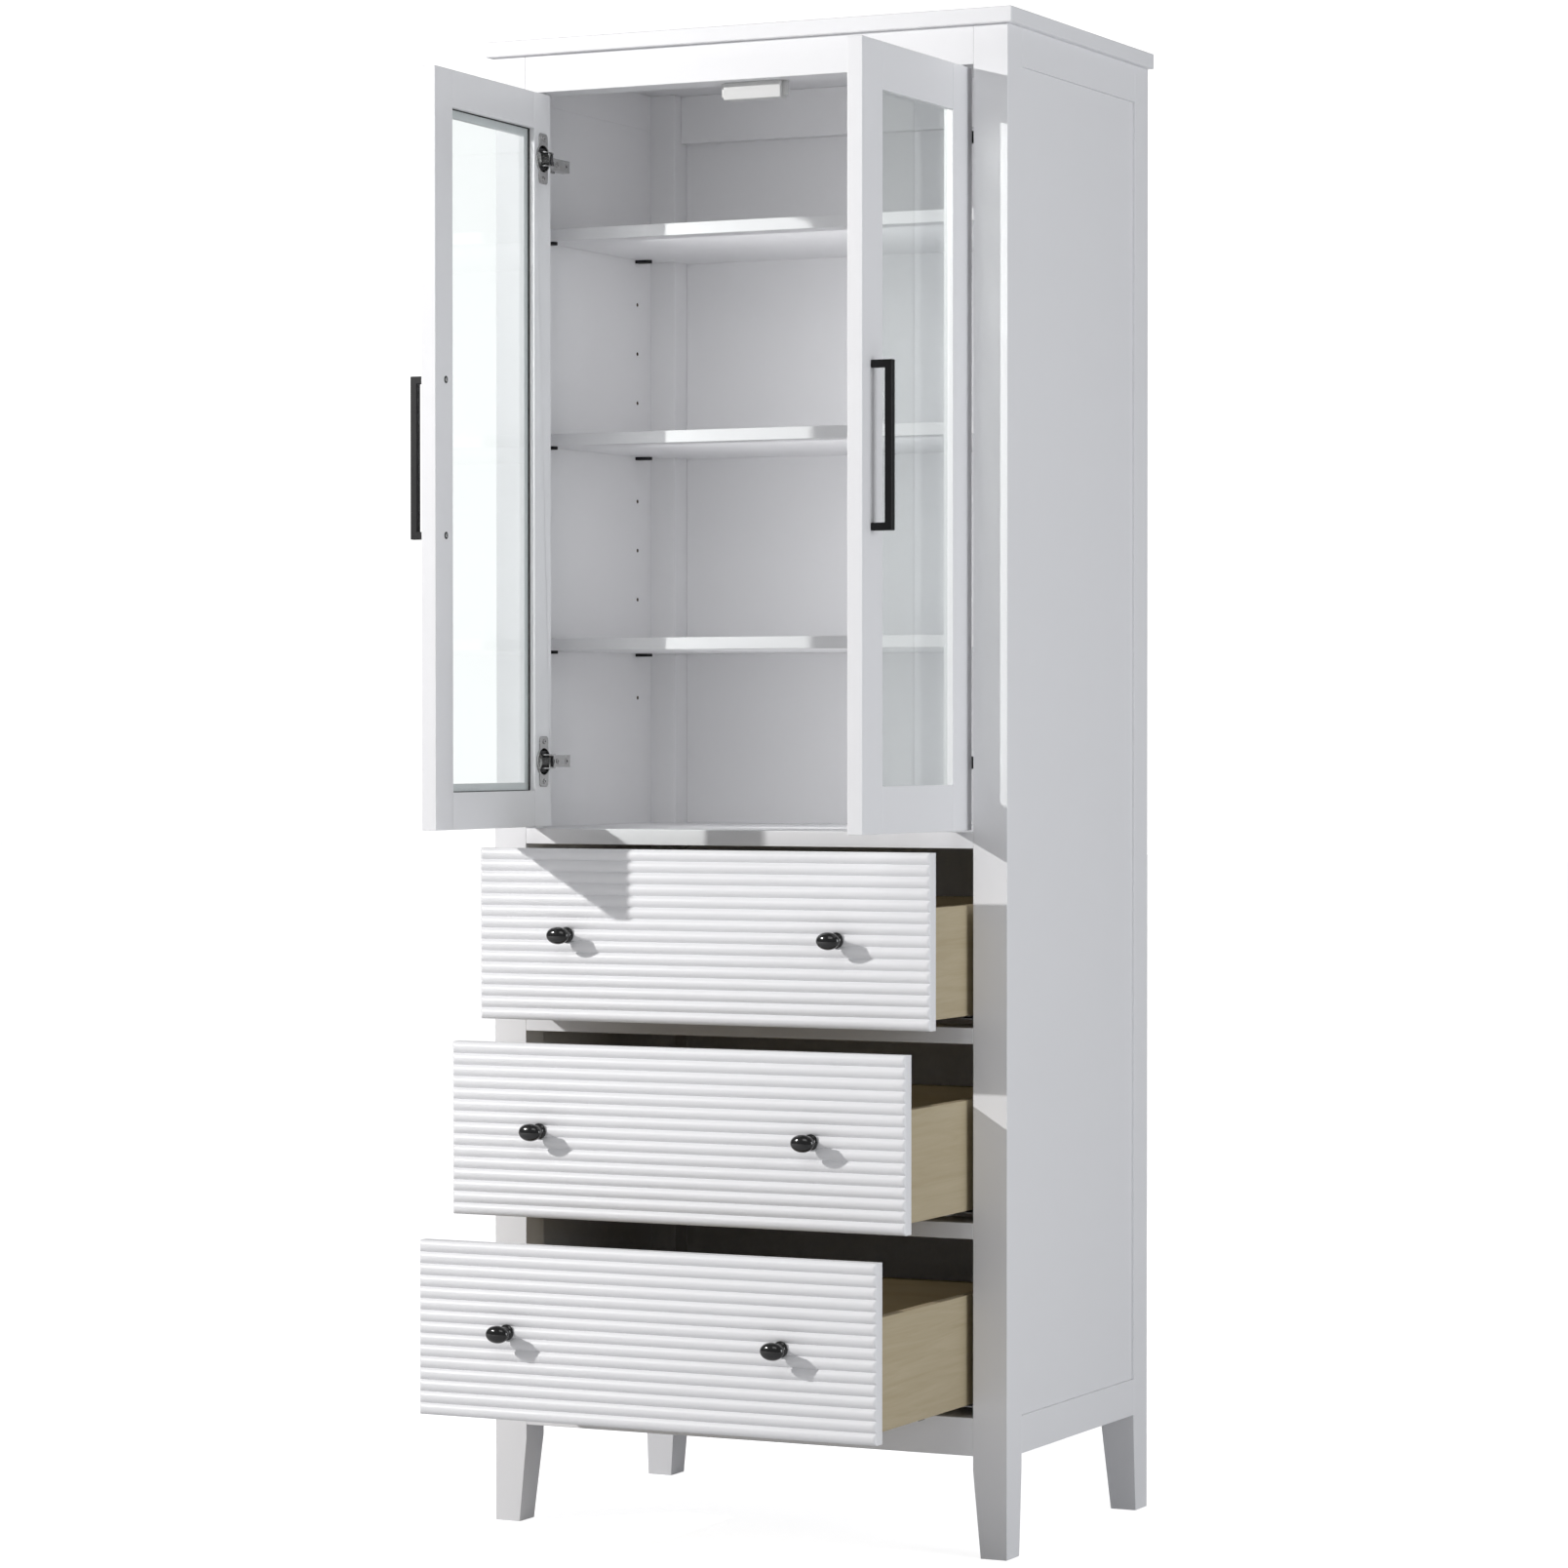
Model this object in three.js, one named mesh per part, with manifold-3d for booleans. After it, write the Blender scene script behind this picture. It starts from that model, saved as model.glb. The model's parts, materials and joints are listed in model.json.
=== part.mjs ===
// Tall apothecary cabinet: a white case on tapered legs, with two glass doors over three shelves
// and three reeded drawers below. The doors stand open at about a right angle and the drawers are
// pulled out in steps, which is how the cabinet is drawn at rest.
//
// Units are millimetres. +X is the viewer's right, +Y runs to the back of the cabinet, +Z is up.
// Pieces are placed from the front face of the posts (Y = 0) and the middle of the case (X = 0),
// and the finished cabinet is then moved so that its bounding box is centred over the origin.
import Module from 'manifold-3d';
import * as THREE from 'three';
import { mergeVertices } from 'three/addons/utils/BufferGeometryUtils.js';

const wasm = await Module();
wasm.setup();

// ---------------------------------------------------------------- driving dimensions

const CABINET_HEIGHT = 1829;
const CASE_WIDTH = 692; // across the outer faces of the posts
const CASE_DEPTH = 442; // front face of the front posts to back face of the rear posts

const TOP_THICKNESS = 19;
const TOP_OVERHANG = 8; // past the posts at the front and at both sides

const POST_SIZE = 44;
const FOOT_WIDTH = 34;
const FOOT_DEPTH = 37;
const FOOT_TAPER_HEIGHT = 104;

const GROUND_CLEARANCE = 121;
const BOTTOM_RAIL_HEIGHT = 45;
const TOP_RAIL_HEIGHT = 46;
const RAIL_THICKNESS = 19;
const SIDE_PANEL_THICKNESS = 6;
const SIDE_PANEL_RECESS = 3;
const BACK_PANEL_THICKNESS = 6;
const BACK_PANEL_RECESS = 4;
const BACK_RAIL_HEIGHT = 62;
const BACK_RAIL_THICKNESS = 16;

const DRAWER_OPENING = 212;
const DRAWER_RAIL_THICKNESS = 19;
const DRAWER_RAIL_DEPTH = 70;
const DECK_THICKNESS = 19; // the floor of the glazed part

const SHELF_COUNT = 3;
const SHELF_THICKNESS = 15;
const SHELF_SETBACK = 96;
const SHELF_CLEARANCE = 1.5;
const PIN_HOLE_PITCH = 64;
const FIRST_PIN_HOLE = 29; // above the deck

const CATCH_WIDTH = 77;
const CATCH_DEPTH = 18;
const CATCH_HEIGHT = 21;
const CATCH_CLEARANCE = 1; // behind the closed doors

const REVEAL = 2.5; // gap round every door and drawer front

const DOOR_THICKNESS = 19;
const CUP_TO_REBATE = 4.8; // wood left between a hinge cup and the glass rebate
const DOOR_RAIL_WIDTH = 54.5;
const GLASS_LIP = 7.5; // thickness of the frame in front of the glass
const GLASS_REBATE = 10;
const GLASS_THICKNESS = 4;
const GLASS_CLEARANCE = 1;
const DOOR_OPEN_ANGLES = { left: 88, right: 89.5 };
const PIECE_GAP = 0.3; // between pieces of a door

const HANDLE_LENGTH = 193;
const HANDLE_BAR = 9;
const HANDLE_PROJECTION = 26.5;
const HANDLE_EDGE_DISTANCE = 26; // free edge of the door to the middle of the bar
const HANDLE_BELOW_MIDDLE = 9.5;

const PIVOT_FROM_POST = 13;
const PIVOT_DEPTH = 4.5; // behind the front face of a closed door
const HINGE_END_DISTANCE = 80; // middle of a hinge to the end of the door
const CUP_DIAMETER = 34.4;
const CUP_DEPTH = 12;
const CUP_WALL = 1.2;
const CUP_FLOOR = 1;
const CUP_TO_EDGE = 4.3; // wood left between a hinge cup and the hinge edge of the door
const CUP_CLEARANCE = 0.3;
const FLANGE_RIM = 1.8; // flange beyond the cup
const FLANGE_LENGTH = 62;
const FLANGE_WIDTH = 23;
const FLANGE_THICKNESS = 1.2;
const HORN_CLEARANCE = 0.5; // curved horn to the hinge corner of the swinging door
const HORN_THICKNESS = 2.6;
const HORN_HEIGHT = 14;
const HORN_TIP_CLEARANCE = 1.25; // horn's tip to the floor of the cup, door closed
const HORN_END_ANGLE = 100;
const HORN_STEPS = 12;
const ARM_LENGTH = 64;
const ARM_HEIGHT = 15;
const ARM_RISE = 14; // post to the far face of the arm
const ARM_PLATE_THICKNESS = 3;
const ARM_PLATE_LENGTH = 46;
const ARM_PLATE_HEIGHT = 18;

const DRAWER_PULLS = [119, 187, 266]; // how far each drawer stands out, from the top
const DRAWER_FRONT_THICKNESS = 18;
const BEAD_COUNT = 15;
const BEAD_DEPTH = 3.5;
const BEAD_STEPS = 6;
const BOX_SIDE_GAP = 9; // drawer box to post
const BOX_REAR_CLEARANCE = 34; // drawer box to back panel, drawer closed
const BOX_HEIGHT = 131;
const BOX_LIFT = 14; // under the box sides
const BOX_WALL = 12;
const BOX_BOTTOM_THICKNESS = 6;
const BOX_BOTTOM_RECESS = 12;

const KNOB_SPACING = 359;
const KNOB_BASE_DIAMETER = 19;
const KNOB_BASE_THICKNESS = 1.5;
const KNOB_NECK_DIAMETER = 12;
const KNOB_COVE_LENGTH = 4.5; // hollow between the base and the neck
const KNOB_COVE_SHARE = 0.3;
const KNOB_HEAD_WIDTH = 30;
const KNOB_HEAD_HEIGHT = 21;
const KNOB_HEAD_THICKNESS = 15;
const KNOB_PROJECTION = 30;
const KNOB_HEAD_STEPS = 9;

const RUNNER_LIFT = 8;
const RUNNER_WEB_THICKNESS = 3;
const RUNNER_WEB_HEIGHT = 22;
const RUNNER_FOOT_THICKNESS = 4;
const RUNNER_CLEARANCE = 2;
const RUNNER_RAIL_WIDTH = 20;
const RUNNER_FOOT_LIP = 5; // foot beyond the raised rail
const RUNNER_WALL_GAP = 6; // raised rail to the side of the drawer box

// ---------------------------------------------------------------- planes shared by neighbours

const postOuterX = CASE_WIDTH / 2;
const postInnerX = postOuterX - POST_SIZE;
const frontPostBackY = POST_SIZE;
const rearPostFrontY = CASE_DEPTH - POST_SIZE;
const panelOuterX = postOuterX - SIDE_PANEL_RECESS;
const panelInnerX = panelOuterX - SIDE_PANEL_THICKNESS;
const backPanelBackY = CASE_DEPTH - BACK_PANEL_RECESS;
const backPanelFrontY = backPanelBackY - BACK_PANEL_THICKNESS;

const topUndersideZ = CABINET_HEIGHT - TOP_THICKNESS;
const topRailBottomZ = topUndersideZ - TOP_RAIL_HEIGHT;
const bottomRailTopZ = GROUND_CLEARANCE + BOTTOM_RAIL_HEIGHT;
const drawerPitch = DRAWER_OPENING + DRAWER_RAIL_THICKNESS;
const drawerCount = DRAWER_PULLS.length;
const deckUndersideZ = bottomRailTopZ + drawerCount * drawerPitch - DRAWER_RAIL_THICKNESS;
const deckTopZ = deckUndersideZ + DECK_THICKNESS;
const doorOpeningHeight = topRailBottomZ - deckTopZ;

const doorWidth = (2 * postInnerX - 3 * REVEAL) / 2;
const doorBottomZ = deckTopZ + REVEAL;
const doorTopZ = topRailBottomZ - REVEAL;
const pivotToHingeEdge = PIVOT_FROM_POST - REVEAL;
const hingeHeights = {
  upper: doorTopZ - HINGE_END_DISTANCE,
  lower: doorBottomZ + HINGE_END_DISTANCE,
};
const hornInnerRadius = Math.hypot(DOOR_THICKNESS - PIVOT_DEPTH, pivotToHingeEdge) + HORN_CLEARANCE;
const hornTipDepth = DOOR_THICKNESS - CUP_DEPTH + CUP_FLOOR + HORN_TIP_CLEARANCE;
const hornStartAngle = THREE.MathUtils.radToDeg(Math.asin((hornTipDepth - PIVOT_DEPTH) / hornInnerRadius));
const boxLength = backPanelFrontY - DRAWER_FRONT_THICKNESS - BOX_REAR_CLEARANCE;
const cupMiddle = CUP_TO_EDGE + CUP_DIAMETER / 2; // from the hinge edge of the door
const flangeRadius = CUP_DIAMETER / 2 + FLANGE_RIM;
const stileWidth = CUP_TO_EDGE + CUP_DIAMETER + CUP_TO_REBATE + GLASS_REBATE;
const cupBoreRadius = CUP_DIAMETER / 2 + CUP_CLEARANCE;
const cupBoreDepth = CUP_DEPTH + CUP_CLEARANCE;

const BOTH_SIDES = { left: -1, right: 1 };
const CUT_MARGIN = 1; // how far a cutting tool stands past the face that it opens
const ROUND_SEGMENTS = 32;

// ---------------------------------------------------------------- finishes

const FINISHES = {
  lacquer: { color: '#f3f3f2', roughness: 0.45, metalness: 0 },
  plywood: { color: '#cdb78f', roughness: 0.6, metalness: 0 },
  glass: { color: '#dbe8e3', roughness: 0.05, metalness: 0, transparent: true, opacity: 0.25 },
  nickel: { color: '#b9bab8', roughness: 0.28, metalness: 1 },
  steel: { color: '#a9abac', roughness: 0.4, metalness: 1 },
  satinBlack: { color: '#1b1b1b', roughness: 0.5, metalness: 0.6 },
  glossBlack: { color: '#0e0e0e', roughness: 0.15, metalness: 0.2 },
  plastic: { color: '#eeeeec', roughness: 0.5, metalness: 0 },
};

function addPiece(parent, name, geometry, finish) {
  const piece = new THREE.Mesh(geometry, new THREE.MeshStandardMaterial(FINISHES[finish]));
  piece.name = name;
  parent.add(piece);
}

// ---------------------------------------------------------------- shapes

// A block between two X, two Y and two Z planes, given in any order. Neighbours that are built from
// the same planes share exactly the same coordinates.
function block(xPlanes, yPlanes, zPlanes) {
  const limits = [xPlanes, yPlanes, zPlanes].map(([a, b]) => [Math.min(a, b), Math.max(a, b)]);
  const geometry = new THREE.BoxGeometry(1, 1, 1);
  const position = geometry.attributes.position;
  for (let i = 0; i < position.count; i += 1) {
    const corner = limits.map(([low, high], axis) => (position.getComponent(i, axis) < 0 ? low : high));
    position.setXYZ(i, ...corner);
  }
  return geometry;
}

// Extrudes an outline from one plane to another. The outline is drawn in the two axes that follow
// the extrusion axis: (x, y) along z, (y, z) along x and (z, x) along y.
const AXIS_ORDER = { z: [0, 1, 2], x: [1, 2, 0], y: [2, 0, 1] };

function extrude(outline, axis, from, to) {
  const shape = new THREE.Shape(outline.map(([a, b]) => new THREE.Vector2(a, b)));
  const geometry = new THREE.ExtrudeGeometry(shape, { depth: 1, bevelEnabled: false });
  const position = geometry.attributes.position;
  const order = AXIS_ORDER[axis];
  for (let i = 0; i < position.count; i += 1) {
    const local = [position.getX(i), position.getY(i), position.getZ(i) < 0.5 ? from : to];
    local.forEach((value, k) => position.setComponent(i, order[k], value));
  }
  return geometry;
}

// A round bar along Y between two Y planes.
function roundBar(x, z, radius, yPlanes) {
  const [front, back] = yPlanes;
  const geometry = new THREE.CylinderGeometry(radius, radius, back - front, ROUND_SEGMENTS);
  geometry.translate(x, (front + back) / 2, z);
  return geometry;
}

function toSolid(geometry) {
  const bare = geometry.clone();
  bare.deleteAttribute('normal');
  bare.deleteAttribute('uv');
  const merged = mergeVertices(bare);
  return new wasm.Manifold(
    new wasm.Mesh({
      numProp: 3,
      vertProperties: new Float32Array(merged.attributes.position.array),
      triVerts: new Uint32Array(merged.index.array),
    }),
  );
}

// Joins a list of shapes and then cuts another list out of them.
function build(joined, cuts = []) {
  let solid = joined.map(toSolid).reduce((sum, next) => sum.add(next));
  for (const tool of cuts) {
    solid = solid.subtract(toSolid(tool));
  }
  const mesh = solid.getMesh();
  const geometry = new THREE.BufferGeometry();
  geometry.setAttribute('position', new THREE.BufferAttribute(mesh.vertProperties, 3));
  geometry.setIndex(new THREE.BufferAttribute(mesh.triVerts, 1));
  geometry.computeVertexNormals();
  return geometry;
}

// ---------------------------------------------------------------- case

// A square post whose two inner faces draw in towards the foot.
function taperedPost(side, atBack) {
  const outerY = atBack ? CASE_DEPTH : 0;
  const innerY = atBack ? rearPostFrontY : frontPostBackY;
  const footInnerY = atBack ? CASE_DEPTH - FOOT_DEPTH : FOOT_DEPTH;
  const sorted = (a, b) => [Math.min(a, b), Math.max(a, b)];
  const shaft = [sorted(side * postOuterX, side * postInnerX), sorted(outerY, innerY)];
  const foot = [sorted(side * postOuterX, side * (postOuterX - FOOT_WIDTH)), sorted(outerY, footInnerY)];

  const geometry = new THREE.BoxGeometry(1, 1, 1, 1, 1, 2);
  const position = geometry.attributes.position;
  for (let i = 0; i < position.count; i += 1) {
    const level = Math.sign(position.getZ(i));
    const [xPlanes, yPlanes] = level < 0 ? foot : shaft;
    const z = { '-1': 0, 0: FOOT_TAPER_HEIGHT, 1: topUndersideZ }[level];
    position.setXYZ(i, xPlanes[position.getX(i) < 0 ? 0 : 1], yPlanes[position.getY(i) < 0 ? 0 : 1], z);
  }
  return geometry;
}

// The outline, seen from above, of a board that fills the case between the side panels and is
// notched round the posts it passes.
function notchedBoard(frontY, backY, sideGap) {
  const wideX = panelInnerX - sideGap;
  const narrowX = postInnerX - sideGap;
  const half = [[narrowX, backY]];
  half.push([narrowX, rearPostFrontY - sideGap]);
  half.push([wideX, rearPostFrontY - sideGap]);
  if (frontY < frontPostBackY) {
    half.push([wideX, frontPostBackY + sideGap]);
    half.push([narrowX, frontPostBackY + sideGap]);
    half.push([narrowX, frontY]);
  } else {
    half.push([wideX, frontY]);
  }
  const otherHalf = half.map(([x, y]) => [-x, y]).reverse();
  return [...half, ...otherHalf];
}

function addCase(parent) {
  const acrossPosts = [-postInnerX, postInnerX];
  const betweenPostsY = [frontPostBackY, rearPostFrontY];

  const topHalf = postOuterX + TOP_OVERHANG;
  const topBoard = block([-topHalf, topHalf], [-TOP_OVERHANG, CASE_DEPTH], [topUndersideZ, CABINET_HEIGHT]);
  addPiece(parent, 'top_board', topBoard, 'lacquer');

  for (const [sideName, side] of Object.entries(BOTH_SIDES)) {
    addPiece(parent, `front_post_${sideName}`, taperedPost(side, false), 'lacquer');
    addPiece(parent, `rear_post_${sideName}`, taperedPost(side, true), 'lacquer');

    const panelX = [side * panelOuterX, side * panelInnerX];
    const panel = block(panelX, betweenPostsY, [bottomRailTopZ, topRailBottomZ]);
    addPiece(parent, `side_panel_${sideName}`, panel, 'lacquer');

    const railX = [side * postOuterX, side * (postOuterX - RAIL_THICKNESS)];
    const flushX = [side * postOuterX, side * panelInnerX]; // no step on the inner wall above the shelves
    const upperRail = block(flushX, betweenPostsY, [topRailBottomZ, topUndersideZ]);
    addPiece(parent, `side_top_rail_${sideName}`, upperRail, 'lacquer');
    const lowerRail = block(railX, betweenPostsY, [GROUND_CLEARANCE, bottomRailTopZ]);
    addPiece(parent, `side_bottom_rail_${sideName}`, lowerRail, 'lacquer');
  }

  const frontTopRail = block(acrossPosts, [0, frontPostBackY], [topRailBottomZ, topUndersideZ]);
  addPiece(parent, 'front_top_rail', frontTopRail, 'lacquer');
  const apron = block(acrossPosts, [0, RAIL_THICKNESS], [GROUND_CLEARANCE, bottomRailTopZ]);
  addPiece(parent, 'front_apron', apron, 'lacquer');

  for (let i = 1; i < drawerCount; i += 1) {
    const railTopZ = deckUndersideZ - i * drawerPitch + DRAWER_RAIL_THICKNESS;
    const rail = block(acrossPosts, [0, DRAWER_RAIL_DEPTH], [railTopZ - DRAWER_RAIL_THICKNESS, railTopZ]);
    addPiece(parent, `drawer_rail_${i}`, rail, 'lacquer');
  }

  const deck = extrude(notchedBoard(0, backPanelFrontY, 0), 'z', deckUndersideZ, deckTopZ);
  addPiece(parent, 'deck', deck, 'lacquer');

  const backPanel = block(acrossPosts, [backPanelFrontY, backPanelBackY], [GROUND_CLEARANCE, topUndersideZ]);
  addPiece(parent, 'back_panel', backPanel, 'lacquer');
  const backRailY = [backPanelFrontY - BACK_RAIL_THICKNESS, backPanelFrontY];
  const backRail = block(acrossPosts, backRailY, [topUndersideZ - BACK_RAIL_HEIGHT, topUndersideZ]);
  addPiece(parent, 'back_top_rail', backRail, 'lacquer');

  // The magnetic catch hangs under the front top rail, just behind the closed doors.
  const catchFrontY = DOOR_THICKNESS + CATCH_CLEARANCE;
  const catchY = [catchFrontY, catchFrontY + CATCH_DEPTH];
  const catchZ = [topRailBottomZ - CATCH_HEIGHT, topRailBottomZ];
  addPiece(parent, 'door_catch', block([-CATCH_WIDTH / 2, CATCH_WIDTH / 2], catchY, catchZ), 'plastic');
}

// Shelves stand on pins in rows of holes, at equal steps of whole holes.
function addShelves(parent) {
  const holesPerStep = Math.round(doorOpeningHeight / (SHELF_COUNT + 1) / PIN_HOLE_PITCH);
  const outline = notchedBoard(SHELF_SETBACK, backPanelFrontY, SHELF_CLEARANCE);
  for (let i = 1; i <= SHELF_COUNT; i += 1) {
    const hole = (SHELF_COUNT + 1 - i) * holesPerStep - 1;
    const undersideZ = deckTopZ + FIRST_PIN_HOLE + hole * PIN_HOLE_PITCH;
    const shelf = extrude(outline, 'z', undersideZ, undersideZ + SHELF_THICKNESS);
    addPiece(parent, `shelf_${i}`, shelf, 'lacquer');
  }
}

// ---------------------------------------------------------------- doors and hinges

// Maps a distance from the hinge edge and a depth behind the front face of the door to the door's
// own X and Y, which are measured from its pivot.
function doorX(side, fromHingeEdge) {
  return side * (pivotToHingeEdge - fromHingeEdge);
}

function doorY(depth) {
  return depth - PIVOT_DEPTH;
}

// A stile is an L in plan: the lip in front of the glass is wider than the wood beside it.
function stileOutline(side, fromEdge) {
  const inner = stileWidth - GLASS_REBATE;
  const points = [
    [0, 0],
    [stileWidth, 0],
    [stileWidth, GLASS_LIP],
    [inner, GLASS_LIP],
    [inner, DOOR_THICKNESS],
    [0, DOOR_THICKNESS],
  ];
  return points.map(([across, depth]) => [doorX(side, fromEdge(across)), doorY(depth)]);
}

function doorRail(side, edgeZ, inward) {
  const lipX = [stileWidth + PIECE_GAP, doorWidth - stileWidth - PIECE_GAP];
  const woodX = lipX.map((across, k) => across + (k === 0 ? -GLASS_REBATE : GLASS_REBATE));
  const lip = block(
    lipX.map((across) => doorX(side, across)),
    [doorY(0), doorY(GLASS_LIP)],
    [edgeZ, edgeZ + inward * DOOR_RAIL_WIDTH],
  );
  const wood = block(
    woodX.map((across) => doorX(side, across)),
    [doorY(GLASS_LIP), doorY(DOOR_THICKNESS)],
    [edgeZ, edgeZ + inward * (DOOR_RAIL_WIDTH - GLASS_REBATE)],
  );
  return build([lip, wood]);
}

function handleGeometry(side) {
  const footY = doorY(0) - PIECE_GAP;
  const outerY = doorY(0) - HANDLE_PROJECTION;
  const innerY = outerY + HANDLE_BAR;
  const middleZ = (doorBottomZ + doorTopZ) / 2 - HANDLE_BELOW_MIDDLE;
  const lowZ = middleZ - HANDLE_LENGTH / 2;
  const highZ = middleZ + HANDLE_LENGTH / 2;
  const outline = [
    [footY, lowZ],
    [outerY, lowZ],
    [outerY, highZ],
    [footY, highZ],
    [footY, highZ - HANDLE_BAR],
    [innerY, highZ - HANDLE_BAR],
    [innerY, lowZ + HANDLE_BAR],
    [footY, lowZ + HANDLE_BAR],
  ];
  const middleX = doorX(side, doorWidth - HANDLE_EDGE_DISTANCE);
  return extrude(outline, 'x', middleX - HANDLE_BAR / 2, middleX + HANDLE_BAR / 2);
}

// The cup sits in a bore in the hinge stile, and its flange lies on the inner face of the door.
function hingeCup(side, z) {
  const x = doorX(side, cupMiddle);
  const floorY = doorY(DOOR_THICKNESS - CUP_DEPTH);
  const seatY = doorY(DOOR_THICKNESS) + PIECE_GAP;
  const faceY = seatY + FLANGE_THICKNESS;
  const barrel = roundBar(x, z, CUP_DIAMETER / 2, [floorY, faceY]);
  const disc = roundBar(x, z, flangeRadius, [seatY, faceY]);
  const ears = block(
    [x - FLANGE_WIDTH / 2, x + FLANGE_WIDTH / 2],
    [seatY, faceY],
    [z - FLANGE_LENGTH / 2, z + FLANGE_LENGTH / 2],
  );
  const mouth = roundBar(x, z, CUP_DIAMETER / 2 - CUP_WALL, [floorY + CUP_FLOOR, faceY + CUT_MARGIN]);
  return build([barrel, disc, ears], [mouth]);
}

// The arm is screwed to the inner face of the post. Its curved horn is concentric with the pivot,
// so it stays inside the cup's mouth and clear of the door through the whole swing.
function hingeArm(side, z) {
  const hornOuterRadius = hornInnerRadius + HORN_THICKNESS;
  const arc = (radius) =>
    Array.from({ length: HORN_STEPS + 1 }, (_, i) => {
      const degrees = hornStartAngle + ((HORN_END_ANGLE - hornStartAngle) * i) / HORN_STEPS;
      const angle = THREE.MathUtils.degToRad(degrees);
      const x = side * (postInnerX - PIVOT_FROM_POST - radius * Math.cos(angle));
      return [x, PIVOT_DEPTH + radius * Math.sin(angle)];
    });
  const horn = extrude(
    [...arc(hornOuterRadius), ...arc(hornInnerRadius).reverse()],
    'z',
    z - HORN_HEIGHT / 2,
    z + HORN_HEIGHT / 2,
  );
  const armFrontY = PIVOT_DEPTH + hornInnerRadius + CUT_MARGIN;
  const arm = block(
    [side * (postInnerX - ARM_PLATE_THICKNESS), side * (postInnerX - ARM_RISE)],
    [armFrontY, armFrontY + ARM_LENGTH],
    [z - ARM_HEIGHT / 2, z + ARM_HEIGHT / 2],
  );
  const plate = block(
    [side * postInnerX, side * (postInnerX - ARM_PLATE_THICKNESS)],
    [armFrontY, armFrontY + ARM_PLATE_LENGTH],
    [z - ARM_PLATE_HEIGHT / 2, z + ARM_PLATE_HEIGHT / 2],
  );
  return build([horn, arm, plate]);
}

function addDoor(parent, sideName, side) {
  const door = new THREE.Group();
  door.position.set(side * (postInnerX - PIVOT_FROM_POST), PIVOT_DEPTH, 0);
  door.rotation.z = THREE.MathUtils.degToRad(side * DOOR_OPEN_ANGLES[sideName]);
  parent.add(door);

  const cupBores = Object.values(hingeHeights).map((z) =>
    roundBar(doorX(side, cupMiddle), z, cupBoreRadius, [
      doorY(DOOR_THICKNESS - cupBoreDepth),
      doorY(DOOR_THICKNESS + CUT_MARGIN),
    ]),
  );
  const hingeOutline = stileOutline(side, (across) => across);
  const hingeStile = build([extrude(hingeOutline, 'z', doorBottomZ, doorTopZ)], cupBores);
  addPiece(door, `door_${sideName}_hinge_stile`, hingeStile, 'lacquer');
  const freeOutline = stileOutline(side, (across) => doorWidth - across);
  const freeStile = extrude(freeOutline, 'z', doorBottomZ, doorTopZ);
  addPiece(door, `door_${sideName}_free_stile`, freeStile, 'lacquer');

  addPiece(door, `door_${sideName}_top_rail`, doorRail(side, doorTopZ, -1), 'lacquer');
  addPiece(door, `door_${sideName}_bottom_rail`, doorRail(side, doorBottomZ, 1), 'lacquer');

  const glassSideInset = stileWidth - GLASS_REBATE + GLASS_CLEARANCE;
  const glassEndInset = DOOR_RAIL_WIDTH - GLASS_REBATE + GLASS_CLEARANCE;
  const glassFront = doorY(GLASS_LIP) + PIECE_GAP;
  const glass = block(
    [doorX(side, glassSideInset), doorX(side, doorWidth - glassSideInset)],
    [glassFront, glassFront + GLASS_THICKNESS],
    [doorBottomZ + glassEndInset, doorTopZ - glassEndInset],
  );
  addPiece(door, `door_${sideName}_glass`, glass, 'glass');
  addPiece(door, `door_${sideName}_handle`, handleGeometry(side), 'satinBlack');

  for (const [levelName, z] of Object.entries(hingeHeights)) {
    addPiece(door, `hinge_cup_${sideName}_${levelName}`, hingeCup(side, z), 'nickel');
    addPiece(parent, `hinge_arm_${sideName}_${levelName}`, hingeArm(side, z), 'nickel');
  }
}

// ---------------------------------------------------------------- drawers

// The front's face is a row of convex beads, each an arc of a circle.
function drawerFront(bottomZ, topZ) {
  const beadHeight = (topZ - bottomZ) / BEAD_COUNT;
  const radius = (beadHeight ** 2 / 4 + BEAD_DEPTH ** 2) / (2 * BEAD_DEPTH);
  const outline = [[DRAWER_FRONT_THICKNESS, bottomZ]];
  for (let bead = 0; bead < BEAD_COUNT; bead += 1) {
    for (let step = 0; step < BEAD_STEPS; step += 1) {
      const rise = (step / BEAD_STEPS) * beadHeight;
      const fromCrest = rise - beadHeight / 2;
      outline.push([radius - Math.sqrt(radius ** 2 - fromCrest ** 2), bottomZ + bead * beadHeight + rise]);
    }
  }
  outline.push([BEAD_DEPTH, topZ], [DRAWER_FRONT_THICKNESS, topZ]);
  return extrude(outline, 'x', -postInnerX + REVEAL, postInnerX - REVEAL);
}

// An open box of thin sides, hollow underneath for the runners.
function drawerBox(openingZ) {
  const outerX = postInnerX - BOX_SIDE_GAP;
  const innerX = outerX - BOX_WALL;
  const frontY = DRAWER_FRONT_THICKNESS;
  const backY = frontY + boxLength;
  const lowZ = openingZ + BOX_LIFT;
  const highZ = lowZ + BOX_HEIGHT;
  const bottomPanelZ = lowZ + BOX_BOTTOM_RECESS;
  const body = block([-outerX, outerX], [frontY, backY], [lowZ, highZ]);
  const inside = block(
    [-innerX, innerX],
    [frontY + BOX_WALL, backY - BOX_WALL],
    [bottomPanelZ + BOX_BOTTOM_THICKNESS, highZ + CUT_MARGIN],
  );
  const underneath = block(
    [-innerX, innerX],
    [frontY + BOX_WALL, backY + CUT_MARGIN],
    [lowZ - CUT_MARGIN, bottomPanelZ],
  );
  return build([body], [inside, underneath]);
}

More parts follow.
